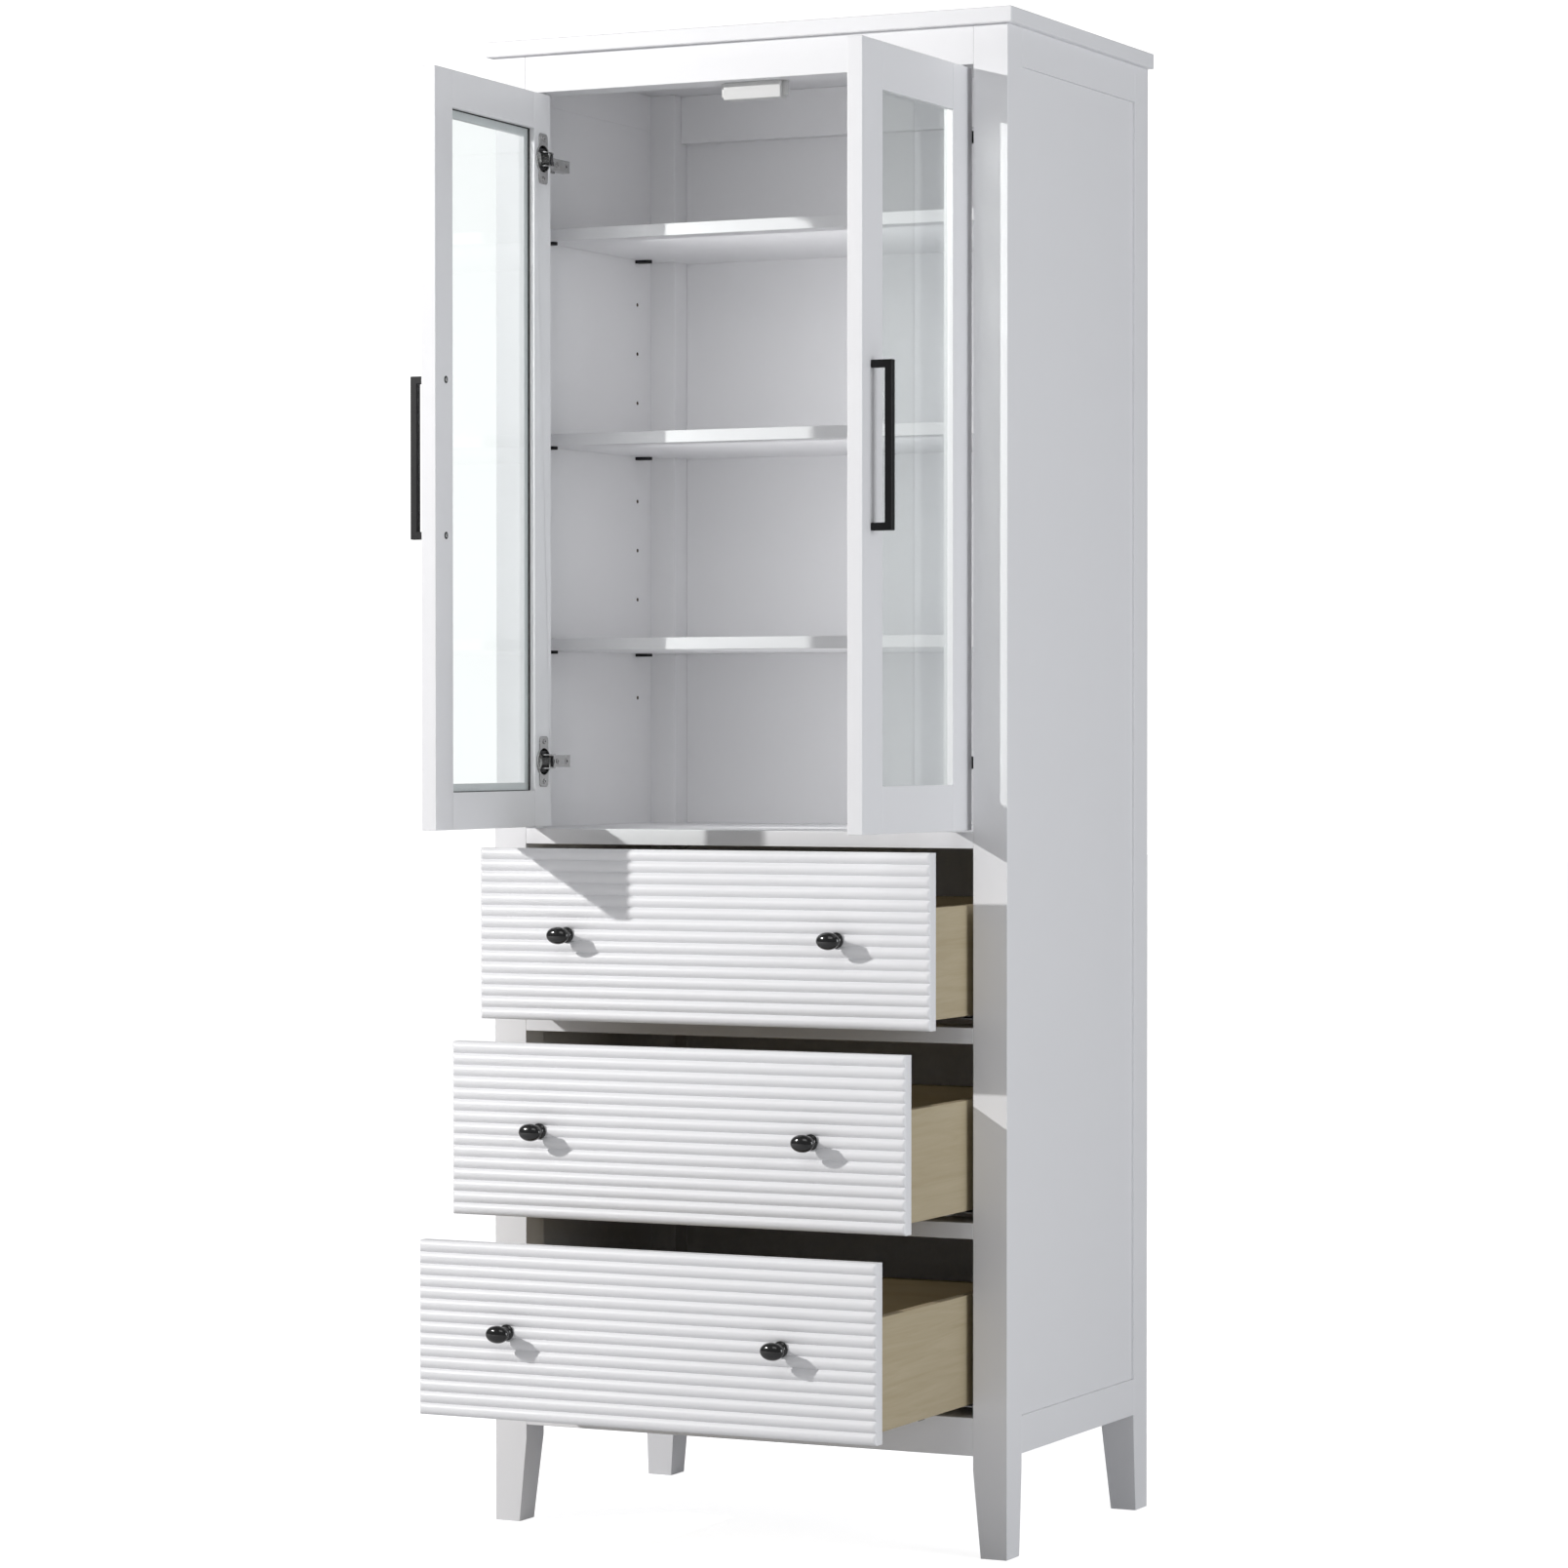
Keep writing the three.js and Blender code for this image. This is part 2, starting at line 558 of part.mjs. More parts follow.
// A turned knob whose round neck swells into an oval head.
function knob(x, z) {
  const neckRadius = KNOB_NECK_DIAMETER / 2;
  const headRadius = KNOB_HEAD_HEIGHT / 2;
  const headMiddle = KNOB_PROJECTION - KNOB_HEAD_THICKNESS / 2;
  const baseRadius = KNOB_BASE_DIAMETER / 2;
  const coveRadius = neckRadius + (baseRadius - neckRadius) * KNOB_COVE_SHARE;
  const neckStart = KNOB_BASE_THICKNESS + KNOB_COVE_LENGTH;
  const profile = [
    [0, 0],
    [baseRadius, 0],
    [baseRadius, KNOB_BASE_THICKNESS],
    [coveRadius, KNOB_BASE_THICKNESS + KNOB_COVE_LENGTH * KNOB_COVE_SHARE],
    [neckRadius, neckStart],
  ];
  const startAngle = -Math.acos(neckRadius / headRadius);
  for (let i = 0; i < KNOB_HEAD_STEPS; i += 1) {
    const angle = startAngle + ((Math.PI / 2 - startAngle) * i) / KNOB_HEAD_STEPS;
    const outward = headMiddle + (KNOB_HEAD_THICKNESS / 2) * Math.sin(angle);
    profile.push([headRadius * Math.cos(angle), outward]);
  }
  profile.push([0, KNOB_PROJECTION]);

  // The profile is turned about Y and points forwards, to -Y.
  const points = profile.map(([radius, outward]) => new THREE.Vector2(radius, -outward)).reverse();
  const geometry = new THREE.LatheGeometry(points, ROUND_SEGMENTS / 2);
  const headStart = headMiddle + (KNOB_HEAD_THICKNESS / 2) * Math.sin(startAngle);
  const position = geometry.attributes.position;
  for (let i = 0; i < position.count; i += 1) {
    const swell = THREE.MathUtils.smoothstep(-position.getY(i), neckStart, headStart);
    const widen = 1 + (KNOB_HEAD_WIDTH / KNOB_HEAD_HEIGHT - 1) * swell;
    position.setX(i, position.getX(i) * widen);
  }
  geometry.translate(x, 0, z);
  return geometry;
}

// A runner: a web on the posts, a foot below the box and a raised rail inside the box's hollow.
function runner(side, openingZ) {
  const bottomZ = openingZ + RUNNER_LIFT;
  const footTopZ = bottomZ + RUNNER_FOOT_THICKNESS;
  const webTopZ = bottomZ + RUNNER_WEB_HEIGHT;
  const railTopZ = openingZ + BOX_LIFT + BOX_BOTTOM_RECESS - RUNNER_CLEARANCE;
  const webX = postInnerX - RUNNER_WEB_THICKNESS;
  const railOuterX = postInnerX - BOX_SIDE_GAP - BOX_WALL - RUNNER_WALL_GAP;
  const railInnerX = railOuterX - RUNNER_RAIL_WIDTH;
  const footInnerX = railInnerX - RUNNER_FOOT_LIP;
  const section = [
    [bottomZ, postInnerX],
    [webTopZ, postInnerX],
    [webTopZ, webX],
    [footTopZ, webX],
    [footTopZ, railOuterX],
    [railTopZ, railOuterX],
    [railTopZ, railInnerX],
    [footTopZ, railInnerX],
    [footTopZ, footInnerX],
    [bottomZ, footInnerX],
  ];
  const frontY = DRAWER_FRONT_THICKNESS + BOX_WALL + RUNNER_CLEARANCE;
  return extrude(
    section.map(([z, x]) => [z, side * x]),
    'y',
    frontY,
    backPanelFrontY - RUNNER_CLEARANCE,
  );
}

function addDrawer(parent, number, pull) {
  const openingZ = deckUndersideZ - number * drawerPitch + DRAWER_RAIL_THICKNESS;
  const bottomZ = openingZ + REVEAL;
  const topZ = openingZ + DRAWER_OPENING - REVEAL;
  const drawer = new THREE.Group();
  drawer.position.y = -pull;
  parent.add(drawer);

  addPiece(drawer, `drawer_${number}_front`, drawerFront(bottomZ, topZ), 'lacquer');
  addPiece(drawer, `drawer_${number}_box`, drawerBox(openingZ), 'plywood');
  for (const [sideName, side] of Object.entries(BOTH_SIDES)) {
    const knobGeometry = knob((side * KNOB_SPACING) / 2, (bottomZ + topZ) / 2);
    addPiece(drawer, `drawer_${number}_knob_${sideName}`, knobGeometry, 'glossBlack');
    addPiece(parent, `drawer_${number}_runner_${sideName}`, runner(side, openingZ), 'steel');
  }
}

// ---------------------------------------------------------------- the cabinet

const cabinet = new THREE.Group();
addCase(cabinet);
addShelves(cabinet);
for (const [sideName, side] of Object.entries(BOTH_SIDES)) {
  addDoor(cabinet, sideName, side);
}
DRAWER_PULLS.forEach((pull, index) => addDrawer(cabinet, index + 1, pull));

// Centre the bounding box over the origin, with the feet on Z = 0.
const bounds = new THREE.Box3().setFromObject(cabinet, true);
cabinet.position.y = -(bounds.min.y + bounds.max.y) / 2;

export default cabinet;
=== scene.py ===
# %% [markdown]
# # A white apothecary cabinet
#
# The real piece is a tall painted cabinet: two glass doors over three shelves, and three
# drawers with reeded fronts on tapered legs. The CAD part already has every body in its place
# with its real size. This lesson gives each piece its softened edges, its fittings and its
# finish, then lights it on a pale floor.
#
# The frame is loaded first. Its boxes, in metres, are measured before anything is added.

import json
import math

import bmesh
import bpy
from mathutils import Matrix, Vector

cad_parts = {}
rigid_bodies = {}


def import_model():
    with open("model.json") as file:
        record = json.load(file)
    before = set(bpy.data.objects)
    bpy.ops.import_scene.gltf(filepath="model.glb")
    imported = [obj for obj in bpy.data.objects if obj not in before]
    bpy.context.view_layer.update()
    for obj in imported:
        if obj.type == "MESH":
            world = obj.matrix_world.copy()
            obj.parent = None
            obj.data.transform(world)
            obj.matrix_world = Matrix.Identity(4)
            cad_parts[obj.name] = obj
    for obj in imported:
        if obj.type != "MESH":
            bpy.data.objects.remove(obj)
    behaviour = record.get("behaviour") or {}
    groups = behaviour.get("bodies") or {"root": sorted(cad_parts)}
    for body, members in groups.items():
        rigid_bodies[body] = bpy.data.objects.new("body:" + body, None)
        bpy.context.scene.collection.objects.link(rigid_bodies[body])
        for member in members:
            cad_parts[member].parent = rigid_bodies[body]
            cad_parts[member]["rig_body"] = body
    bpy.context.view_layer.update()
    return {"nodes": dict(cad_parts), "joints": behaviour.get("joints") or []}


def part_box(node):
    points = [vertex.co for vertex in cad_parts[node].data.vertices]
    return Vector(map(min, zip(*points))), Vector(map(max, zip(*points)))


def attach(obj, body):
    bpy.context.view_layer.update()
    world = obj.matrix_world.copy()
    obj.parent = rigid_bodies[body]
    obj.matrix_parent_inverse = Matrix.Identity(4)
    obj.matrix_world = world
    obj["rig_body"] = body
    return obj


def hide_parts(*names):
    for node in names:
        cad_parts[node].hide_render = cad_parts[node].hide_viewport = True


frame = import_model()
MM = 0.001
BODY_OF = {name: piece["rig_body"] for name, piece in frame["nodes"].items()}
SIDES = {"left": -1, "right": 1}

# %% [markdown]
# ## The camera
#
# A catalogue view is taken from a little to the right, at about half the cabinet's height and
# almost level, so that upright lines stay upright. The lens is long, which keeps the near and
# the far edges close to the same size. A small shift slides the picture without tilting it.

# %% Camera
def show(thing):
    bpy.context.scene.collection.objects.link(thing)
    return thing


camera_data = bpy.data.cameras.new("catalogue_camera")
camera_data.lens = 109.497
camera_data.sensor_width = 36
camera_data.shift_x = -0.04358
camera_data.shift_y = 0.01879
camera_data.clip_end = 100
camera = bpy.data.objects.new("catalogue_camera", camera_data)
camera.location = (2.58751, -5.21872, 0.97774)
camera.rotation_euler = (math.radians(90 - 0.978), 0, math.radians(25.4))
show(camera)
bpy.context.scene.camera = camera
print("camera lens:", camera_data.lens, "mm")

# %% [markdown]
# ## Building material node trees
#
# Every finish below is a small node tree. Three helpers keep the cells short: one adds a node
# and fills its sockets, one joins sockets from a list, and one starts a shared group with named
# sockets. A shared group is built once and placed in every finish that needs the effect.

# %% Helpers for node trees
def add_node(tree, kind, settings=None, **values):
    made = tree.nodes.new(kind)
    for name, value in (settings or {}).items():
        setattr(made, name, value)
    for name, value in values.items():
        made.inputs[name.replace("_", " ")].default_value = value
    return made


def wire(tree, links):
    """links holds (node, its output, next node, its input)."""
    for start, output, end, socket in links:
        tree.links.new(start.outputs[output], end.inputs[socket])


def start_group(name, kind, inputs, outputs):
    """inputs holds (label, socket, default) and outputs holds (label, socket)."""
    tree = bpy.data.node_groups.new(name, kind)
    for label, socket, default in inputs:
        made = tree.interface.new_socket(label, in_out="INPUT", socket_type=f"NodeSocket{socket}")
        if default is not None:
            made.default_value = default
    for label, socket in outputs:
        tree.interface.new_socket(label, in_out="OUTPUT", socket_type=f"NodeSocket{socket}")
    return tree, tree.nodes.new("NodeGroupInput"), tree.nodes.new("NodeGroupOutput")


# %% [markdown]
# ## Shared effect: an uneven film
#
# Sprayed lacquer, powder coat and plating are never perfectly even. Broad clouds shift the
# colour by a percent or two, a finer noise changes the gloss, and a very fine noise gives the
# surface its orange peel. The group gives a colour, a roughness and a height.

# %% The uneven film group
SURFACE = [("Colour", "Color"), ("Roughness", "Float"), ("Height", "Float")]
FILM_INPUTS = [
    ("Place", "Vector", None),
    ("Colour", "Color", (0.8, 0.8, 0.8, 1)),
    ("Second Colour", "Color", (0.7, 0.7, 0.7, 1)),
    ("Cloud Scale", "Float", 3.0),
    ("Gloss Scale", "Float", 30.0),
    ("Peel Scale", "Float", 700.0),
    ("Smoothest", "Float", 0.3),
    ("Roughest", "Float", 0.5),
]
film, film_in, film_out = start_group("uneven_film", "ShaderNodeTree", FILM_INPUTS, SURFACE)
clouds = add_node(film, "ShaderNodeTexNoise", Detail=3.0, Roughness=0.55)
tint = add_node(film, "ShaderNodeMix", {"data_type": "RGBA"})
gloss = add_node(film, "ShaderNodeTexNoise", Detail=4.0, Roughness=0.6)
gloss_range = add_node(film, "ShaderNodeMapRange", From_Min=0.3, From_Max=0.7)
peel = add_node(film, "ShaderNodeTexNoise", Detail=2.0, Roughness=0.5)
for noise, scale in ((clouds, "Cloud Scale"), (gloss, "Gloss Scale"), (peel, "Peel Scale")):
    wire(film, [(film_in, "Place", noise, "Vector"), (film_in, scale, noise, "Scale")])
wire(film, [
    (clouds, "Fac", tint, 0),
    (film_in, "Colour", tint, 6),
    (film_in, "Second Colour", tint, 7),
    (tint, 2, film_out, "Colour"),
    (gloss, "Fac", gloss_range, "Value"),
    (film_in, "Smoothest", gloss_range, "To Min"),
    (film_in, "Roughest", gloss_range, "To Max"),
    (gloss_range, "Result", film_out, "Roughness"),
    (peel, "Fac", film_out, "Height"),
])
print("group:", film.name)

# %% [markdown]
# ## Shared effect: streaks that run one way
#
# Wood grain, brushed steel and drawn wire have one thing in common: long marks along one
# direction. Noise is squeezed across that direction by a Mapping node in the material, and this
# group turns it into a colour, a roughness and a height.

# %% The streak group
STREAK_INPUTS = [
    ("Place", "Vector", None),
    ("Light", "Color", (0.8, 0.7, 0.5, 1)),
    ("Dark", "Color", (0.6, 0.5, 0.3, 1)),
    ("Scale", "Float", 12.0),
    ("Wander", "Float", 1.0),
    ("Smoothest", "Float", 0.4),
    ("Roughest", "Float", 0.6),
]
streak, streak_in, streak_out = start_group("long_streaks", "ShaderNodeTree", STREAK_INPUTS, SURFACE)
bands = add_node(streak, "ShaderNodeTexNoise", Detail=6.0, Roughness=0.62)
band_range = add_node(streak, "ShaderNodeMapRange", From_Min=0.32, From_Max=0.68)
band_tint = add_node(streak, "ShaderNodeMix", {"data_type": "RGBA"})
band_gloss = add_node(streak, "ShaderNodeMapRange")
wire(streak, [
    (streak_in, "Place", bands, "Vector"),
    (streak_in, "Scale", bands, "Scale"),
    (streak_in, "Wander", bands, "Distortion"),
    (bands, "Fac", band_range, "Value"),
    (band_range, "Result", band_tint, 0),
    (streak_in, "Light", band_tint, 6),
    (streak_in, "Dark", band_tint, 7),
    (band_tint, 2, streak_out, "Colour"),
    (band_range, "Result", band_gloss, "Value"),
    (streak_in, "Smoothest", band_gloss, "To Min"),
    (streak_in, "Roughest", band_gloss, "To Max"),
    (band_gloss, "Result", streak_out, "Roughness"),
    (band_range, "Result", streak_out, "Height"),
])
print("group:", streak.name)


# %% [markdown]
# ## Finishes
#
# A finish is a Principled BSDF fed by one of the two groups. Numbers that are the same all
# over, such as the metal's IOR or the coat's roughness, are typed on the shader itself. The
# group's values are given in the order of its own inputs.

# %% Make a finish from a group
def feed_group(tree, group, inputs, values):
    effect = add_node(tree, "ShaderNodeGroup", {"node_tree": group})
    for (label, _, _), value in zip(inputs[1:], values):
        effect.inputs[label].default_value = value
    return effect


def make_finish(name, group, inputs, values, shader_values, bump, stretch=(1, 1, 1)):
    """values follows the group's inputs after Place, and bump is (strength, distance)."""
    finish = bpy.data.materials.new(name)
    finish.use_nodes = True
    tree = finish.node_tree
    shader = tree.nodes["Principled BSDF"]
    for label, value in shader_values.items():
        shader.inputs[label].default_value = value
    place = add_node(tree, "ShaderNodeTexCoord")
    mapping = add_node(tree, "ShaderNodeMapping", Scale=stretch)
    effect = feed_group(tree, group, inputs, values)
    relief = add_node(tree, "ShaderNodeBump", Strength=bump[0], Distance=bump[1])
    wire(tree, [
        (place, "Object", mapping, "Vector"),
        (mapping, "Vector", effect, "Place"),
        (effect, "Colour", shader, "Base Color"),
        (effect, "Roughness", shader, "Roughness"),
        (effect, "Height", relief, "Height"),
        (relief, "Normal", shader, "Normal"),
    ])
    finish.diffuse_color = values[0]
    return finish


def film_finish(name, values, shader_values, bump):
    """values: two colours, cloud, gloss and peel scale, smoothest and roughest."""
    return make_finish(name, film, FILM_INPUTS, values, shader_values, bump)


def streak_finish(name, values, shader_values, bump, stretch):
    """values: light and dark colour, scale, wander, smoothest and roughest."""
    return make_finish(name, streak, STREAK_INPUTS, values, shader_values, bump, stretch)


# %% [markdown]
# The case is sprayed with a cool white satin lacquer. The knobs are gloss black enamel, the
# handles satin black powder coat, the hinges polished nickel and the runners zinc-plated steel.

# %% Painted, plated and moulded finishes
METAL = {"Metallic": 1.0}
white_lacquer = film_finish(
    "white_lacquer", ((0.80, 0.80, 0.815, 1), (0.775, 0.775, 0.79, 1), 2.2, 26.0, 420.0, 0.36, 0.48),
    {"Coat Weight": 0.12, "Coat Roughness": 0.3}, (0.18, 0.0002),
)
satin_black = film_finish(
    "satin_black", ((0.005, 0.005, 0.006, 1), (0.009, 0.009, 0.01, 1), 40.0, 300.0, 2400.0, 0.38, 0.5),
    {"Specular IOR Level": 0.3}, (0.25, 0.0001),
)
gloss_black = film_finish(
    "gloss_black", ((0.003, 0.003, 0.003, 1), (0.006, 0.006, 0.006, 1), 60.0, 120.0, 500.0, 0.12, 0.2),
    {"Coat Weight": 0.5, "Coat Roughness": 0.06}, (0.05, 0.0001),
)
nickel = film_finish(
    "polished_nickel", ((0.56, 0.56, 0.55, 1), (0.42, 0.42, 0.42, 1), 60.0, 300.0, 900.0, 0.16, 0.3),
    METAL, (0.08, 0.0001),
)
zinc = streak_finish(
    "zinc_plate", ((0.52, 0.53, 0.55, 1), (0.36, 0.37, 0.39, 1), 9.0, 0.3, 0.28, 0.45),
    METAL, (0.1, 0.0001), (40, 2, 40),
)
white_plastic = film_finish(
    "white_plastic", ((0.62, 0.62, 0.62, 1), (0.59, 0.59, 0.58, 1), 20.0, 150.0, 1500.0, 0.32, 0.42),
    {"Specular IOR Level": 0.5}, (0.15, 0.0001),
)
# Painted shade: a dark steel colour for the hinge horn, the middle of its cam ring and the slot in its arm.
# These parts are the same bright nickel; the dark stands for shade and the reflection of dark surroundings.
painted_shade_steel = film_finish(
    "painted_shade_steel", ((0.10, 0.10, 0.105, 1), (0.06, 0.06, 0.063, 1), 80.0, 300.0, 900.0, 0.2, 0.32),
    METAL, (0.08, 0.0001),
)
black_rubber = film_finish(
    "black_rubber", ((0.016, 0.016, 0.016, 1), (0.028, 0.028, 0.028, 1), 50.0, 200.0, 1800.0, 0.6, 0.8),
    {"Specular IOR Level": 0.35}, (0.3, 0.0001),
)
# Partly the bare board that a drill exposes, partly painted shade: this brown is much darker than raw
# fibreboard, so the pin holes read dark.
bare_board_and_hole_shade = film_finish(
    "bare_fibreboard_and_hole_shade", ((0.14, 0.095, 0.06, 1), (0.08, 0.055, 0.035, 1), 400.0, 800.0, 3000.0, 0.8, 0.95),
    {"Specular IOR Level": 0.2}, (0.5, 0.0002),
)
print("finishes so far:", len(bpy.data.materials))

# %% [markdown]
# The drawer boxes are birch plywood. A board's grain runs along its length, so there is one
# finish for boards that run across the cabinet and one for boards that run front to back. The
# cut edges show the thin plies.

# %% Plywood
BIRCH = ((0.45, 0.385, 0.262, 1), (0.40, 0.333, 0.215, 1), 7.0, 0.6, 0.46, 0.62)
PLIES = ((0.46, 0.385, 0.26, 1), (0.29, 0.225, 0.14, 1), 1.0, 0.1, 0.6, 0.75)
BIRCH_SHINE = {"Specular IOR Level": 0.35}
PLIES_SHINE = {"Specular IOR Level": 0.3}
birch_across = streak_finish("birch_across", BIRCH, BIRCH_SHINE, (0.12, 0.0003), (0.9, 14, 14))
birch_along = streak_finish("birch_along", BIRCH, BIRCH_SHINE, (0.12, 0.0003), (14, 0.9, 14))
plies_across = streak_finish("plies_across", PLIES, PLIES_SHINE, (0.3, 0.0002), (6, 620, 6))
plies_along = streak_finish("plies_along", PLIES, PLIES_SHINE, (0.3, 0.0002), (620, 6, 6))
print("plywood finishes: 4")

# %% [markdown]
# Glass keeps a plain transmission of 1. Float glass has a faint green tint that shows at its
# edges, and a few greasy smears that only change its gloss. Rays that carry shadow or bounced
# light see it as clear, so that the room's light comes through.

# %% Glass
GLASS_FILM = ((0.86, 0.895, 0.89, 1), (0.85, 0.885, 0.88, 1), 5.0, 9.0, 4.0, 0.0, 0.012)
glass = bpy.data.materials.new("door_glass")
glass.use_nodes = True
glass_tree = glass.node_tree
glass_shader = glass_tree.nodes["Principled BSDF"]
glass_shader.inputs["Transmission Weight"].default_value = 1.0
glass_shader.inputs["IOR"].default_value = 1.5
glass_place = add_node(glass_tree, "ShaderNodeTexCoord")
glass_film = feed_group(glass_tree, film, FILM_INPUTS, GLASS_FILM)
glass_relief = add_node(glass_tree, "ShaderNodeBump", Strength=0.02, Distance=0.0002)
clear = add_node(glass_tree, "ShaderNodeBsdfTransparent", Color=(0.96, 0.975, 0.968, 1))
ray = add_node(glass_tree, "ShaderNodeLightPath")
either = add_node(glass_tree, "ShaderNodeMath", {"operation": "MAXIMUM"})
choose = add_node(glass_tree, "ShaderNodeMixShader")
wire(glass_tree, [
    (glass_place, "Object", glass_film, "Place"),
    (glass_film, "Colour", glass_shader, "Base Color"),
    (glass_film, "Roughness", glass_shader, "Roughness"),
    (glass_film, "Height", glass_relief, "Height"),
    (glass_relief, "Normal", glass_shader, "Normal"),
    (ray, "Is Shadow Ray", either, 0),
    (ray, "Is Diffuse Ray", either, 1),
    (either, "Value", choose, "Fac"),
    (glass_shader, "BSDF", choose, 1),
    (clear, "BSDF", choose, 2),
    (choose, "Shader", glass_tree.nodes["Material Output"], "Surface"),
])
print("glass IOR:", glass_shader.inputs["IOR"].default_value)

# %% [markdown]
# ## Finishing a mesh
#
# Each piece ends as one plain mesh with its place in its vertices. `settle` bakes live
# modifiers into the mesh. `hand_over` hangs the piece on the body that carries it and hides
# the CAD nodes it stands for.

# %% Helpers for pieces
def settle(piece):
    graph = bpy.context.evaluated_depsgraph_get()
    shown = piece.evaluated_get(graph)
    mesh = bpy.data.meshes.new_from_object(shown, preserve_all_data_layers=True, depsgraph=graph)
    piece.modifiers.clear()
    piece.data = mesh
    return piece


def hand_over(piece, body, stands_for=()):
    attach(piece, body)
    if stands_for:
        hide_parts(*stands_for)
    return piece


def soften(mesh, soft_angle):
    mesh.shade_smooth()
    mesh.set_sharp_from_angle(angle=math.radians(soft_angle))


def new_piece(name, shape, finishes, soft_angle=35):
    bmesh.ops.recalc_face_normals(shape, faces=shape.faces)
    mesh = bpy.data.meshes.new(name)
    shape.to_mesh(mesh)
    shape.free()
    for finish in finishes:
        mesh.materials.append(finish)
    soften(mesh, soft_angle)
    return show(bpy.data.objects.new(name, mesh))


# %% [markdown]
# ## Painted boards with softened edges
#
# A sanded and painted board has no knife edge: each arris is rounded by a millimetre or so, and
# where two boards meet the two rounded edges leave a fine line. The CAD board is copied, its
# loose triangles are merged back into flat faces, and a Bevel modifier rounds every edge. The
# flat faces keep their own normals, so they stay flat.

# %% Ease the edges of a CAD board
def ease_board(node, radius, finish, segments=3, cutter=None):
    shape = bmesh.new()
    shape.from_mesh(frame["nodes"][node].data)
    bmesh.ops.remove_doubles(shape, verts=shape.verts, dist=1e-6)
    bmesh.ops.dissolve_limit(shape, angle_limit=math.radians(1), verts=shape.verts, edges=shape.edges)
    piece = new_piece(f"{node}_eased", shape, [finish], soft_angle=60)
    bevel = piece.modifiers.new("round_edges", "BEVEL")
    bevel.width = radius
    bevel.segments = segments
    bevel.limit_method = "ANGLE"
    bevel.angle_limit = math.radians(30)
    bevel.harden_normals = True
    if cutter:
        cut = piece.modifiers.new("holes", "BOOLEAN")
        cut.solver = "EXACT"
        cut.material_mode = "TRANSFER"
        cut.object = cutter
    settle(piece)
    if cutter:
        piece.data.shade_flat()
        if "custom_normal" in piece.data.attributes:
            piece.data.attributes.remove(piece.data.attributes["custom_normal"])
    return hand_over(piece, BODY_OF[node], [node])


BOARD_STARTS = ("deck", "front_post", "rear_post", "side_top", "side_bottom", "front_top", "front_apron",
                "drawer_rail", "back_top", "shelf_", "back_panel")
BOARD_ENDS = ("hinge_stile", "free_stile", "top_rail", "bottom_rail")
nodes = sorted(frame["nodes"])
plain_boards = [node for node in nodes if node.startswith(BOARD_STARTS) or node.endswith(BOARD_ENDS)]
for board in plain_boards:
    ease_board(board, 0.7 * MM, white_lacquer)
ease_board("top_board", 1.5 * MM, white_lacquer, segments=4)
print("eased boards:", len(plain_boards) + 1)

# %% [markdown]
# ## Setting small pieces on points
#
# Screws, nails, shelf supports and drill bits all repeat. One Geometry Nodes tree sets a copy
# of a small model on every point of a mesh. Each point carries a `facing` direction, which
# the model's own +Z is turned to, and a seeded spin turns screw heads at random.

# %% The tree that sets small pieces
setter, setter_in, setter_out = start_group("set_small_pieces", "GeometryNodeTree", [
    ("Points", "Geometry", None),
    ("Model", "Object", None),
    ("Size", "Float", 1.0),
    ("Most Spin", "Float", 0.0),
    ("Seed", "Int", 1),
    ("Finish", "Material", None),
], [("Geometry", "Geometry")])
facing = add_node(setter, "GeometryNodeInputNamedAttribute", {"data_type": "FLOAT_VECTOR"}, Name="facing")
turn = add_node(setter, "FunctionNodeAlignRotationToVector", {"axis": "Z"})
spin = add_node(setter, "FunctionNodeRandomValue", {"data_type": "FLOAT"})
spin_turn = add_node(setter, "FunctionNodeAxisAngleToRotation")
both_turns = add_node(setter, "FunctionNodeRotateRotation", {"rotation_space": "LOCAL"})
model = add_node(setter, "GeometryNodeObjectInfo", {"transform_space": "ORIGINAL"}, As_Instance=True)
copies = add_node(setter, "GeometryNodeInstanceOnPoints")
solid = add_node(setter, "GeometryNodeRealizeInstances")
dress = add_node(setter, "GeometryNodeSetMaterial")
wire(setter, [
    (facing, "Attribute", turn, "Vector"),
    (setter_in, "Most Spin", spin, 3),
    (setter_in, "Seed", spin, "Seed"),
    (spin, 1, spin_turn, "Angle"),
    (turn, "Rotation", both_turns, "Rotation"),
    (spin_turn, "Rotation", both_turns, "Rotate By"),
    (setter_in, "Model", model, "Object"),
    (setter_in, "Points", copies, "Points"),
    (model, "Geometry", copies, "Instance"),
    (both_turns, "Rotation", copies, "Rotation"),
    (setter_in, "Size", copies, "Scale"),
    (copies, "Instances", solid, "Geometry"),
    (solid, "Geometry", dress, "Geometry"),
    (setter_in, "Finish", dress, "Material"),
    (dress, "Geometry", setter_out, "Geometry"),
])
print("tree:", setter.name, "nodes:", len(setter.nodes))


# %% [markdown]
# A modifier's inputs are filled by their identifiers before Blender first evaluates the object.
# The result is turned into a plain mesh, and the little model it copied can then be removed.

# %% Use the tree
def use_tree(piece, tree, values):
    modifier = piece.modifiers.new(tree.name, "NODES")
    modifier.node_group = tree
    for item in tree.interface.items_tree:
        if item.in_out == "INPUT" and item.name in values:
            modifier[item.identifier] = values[item.name]


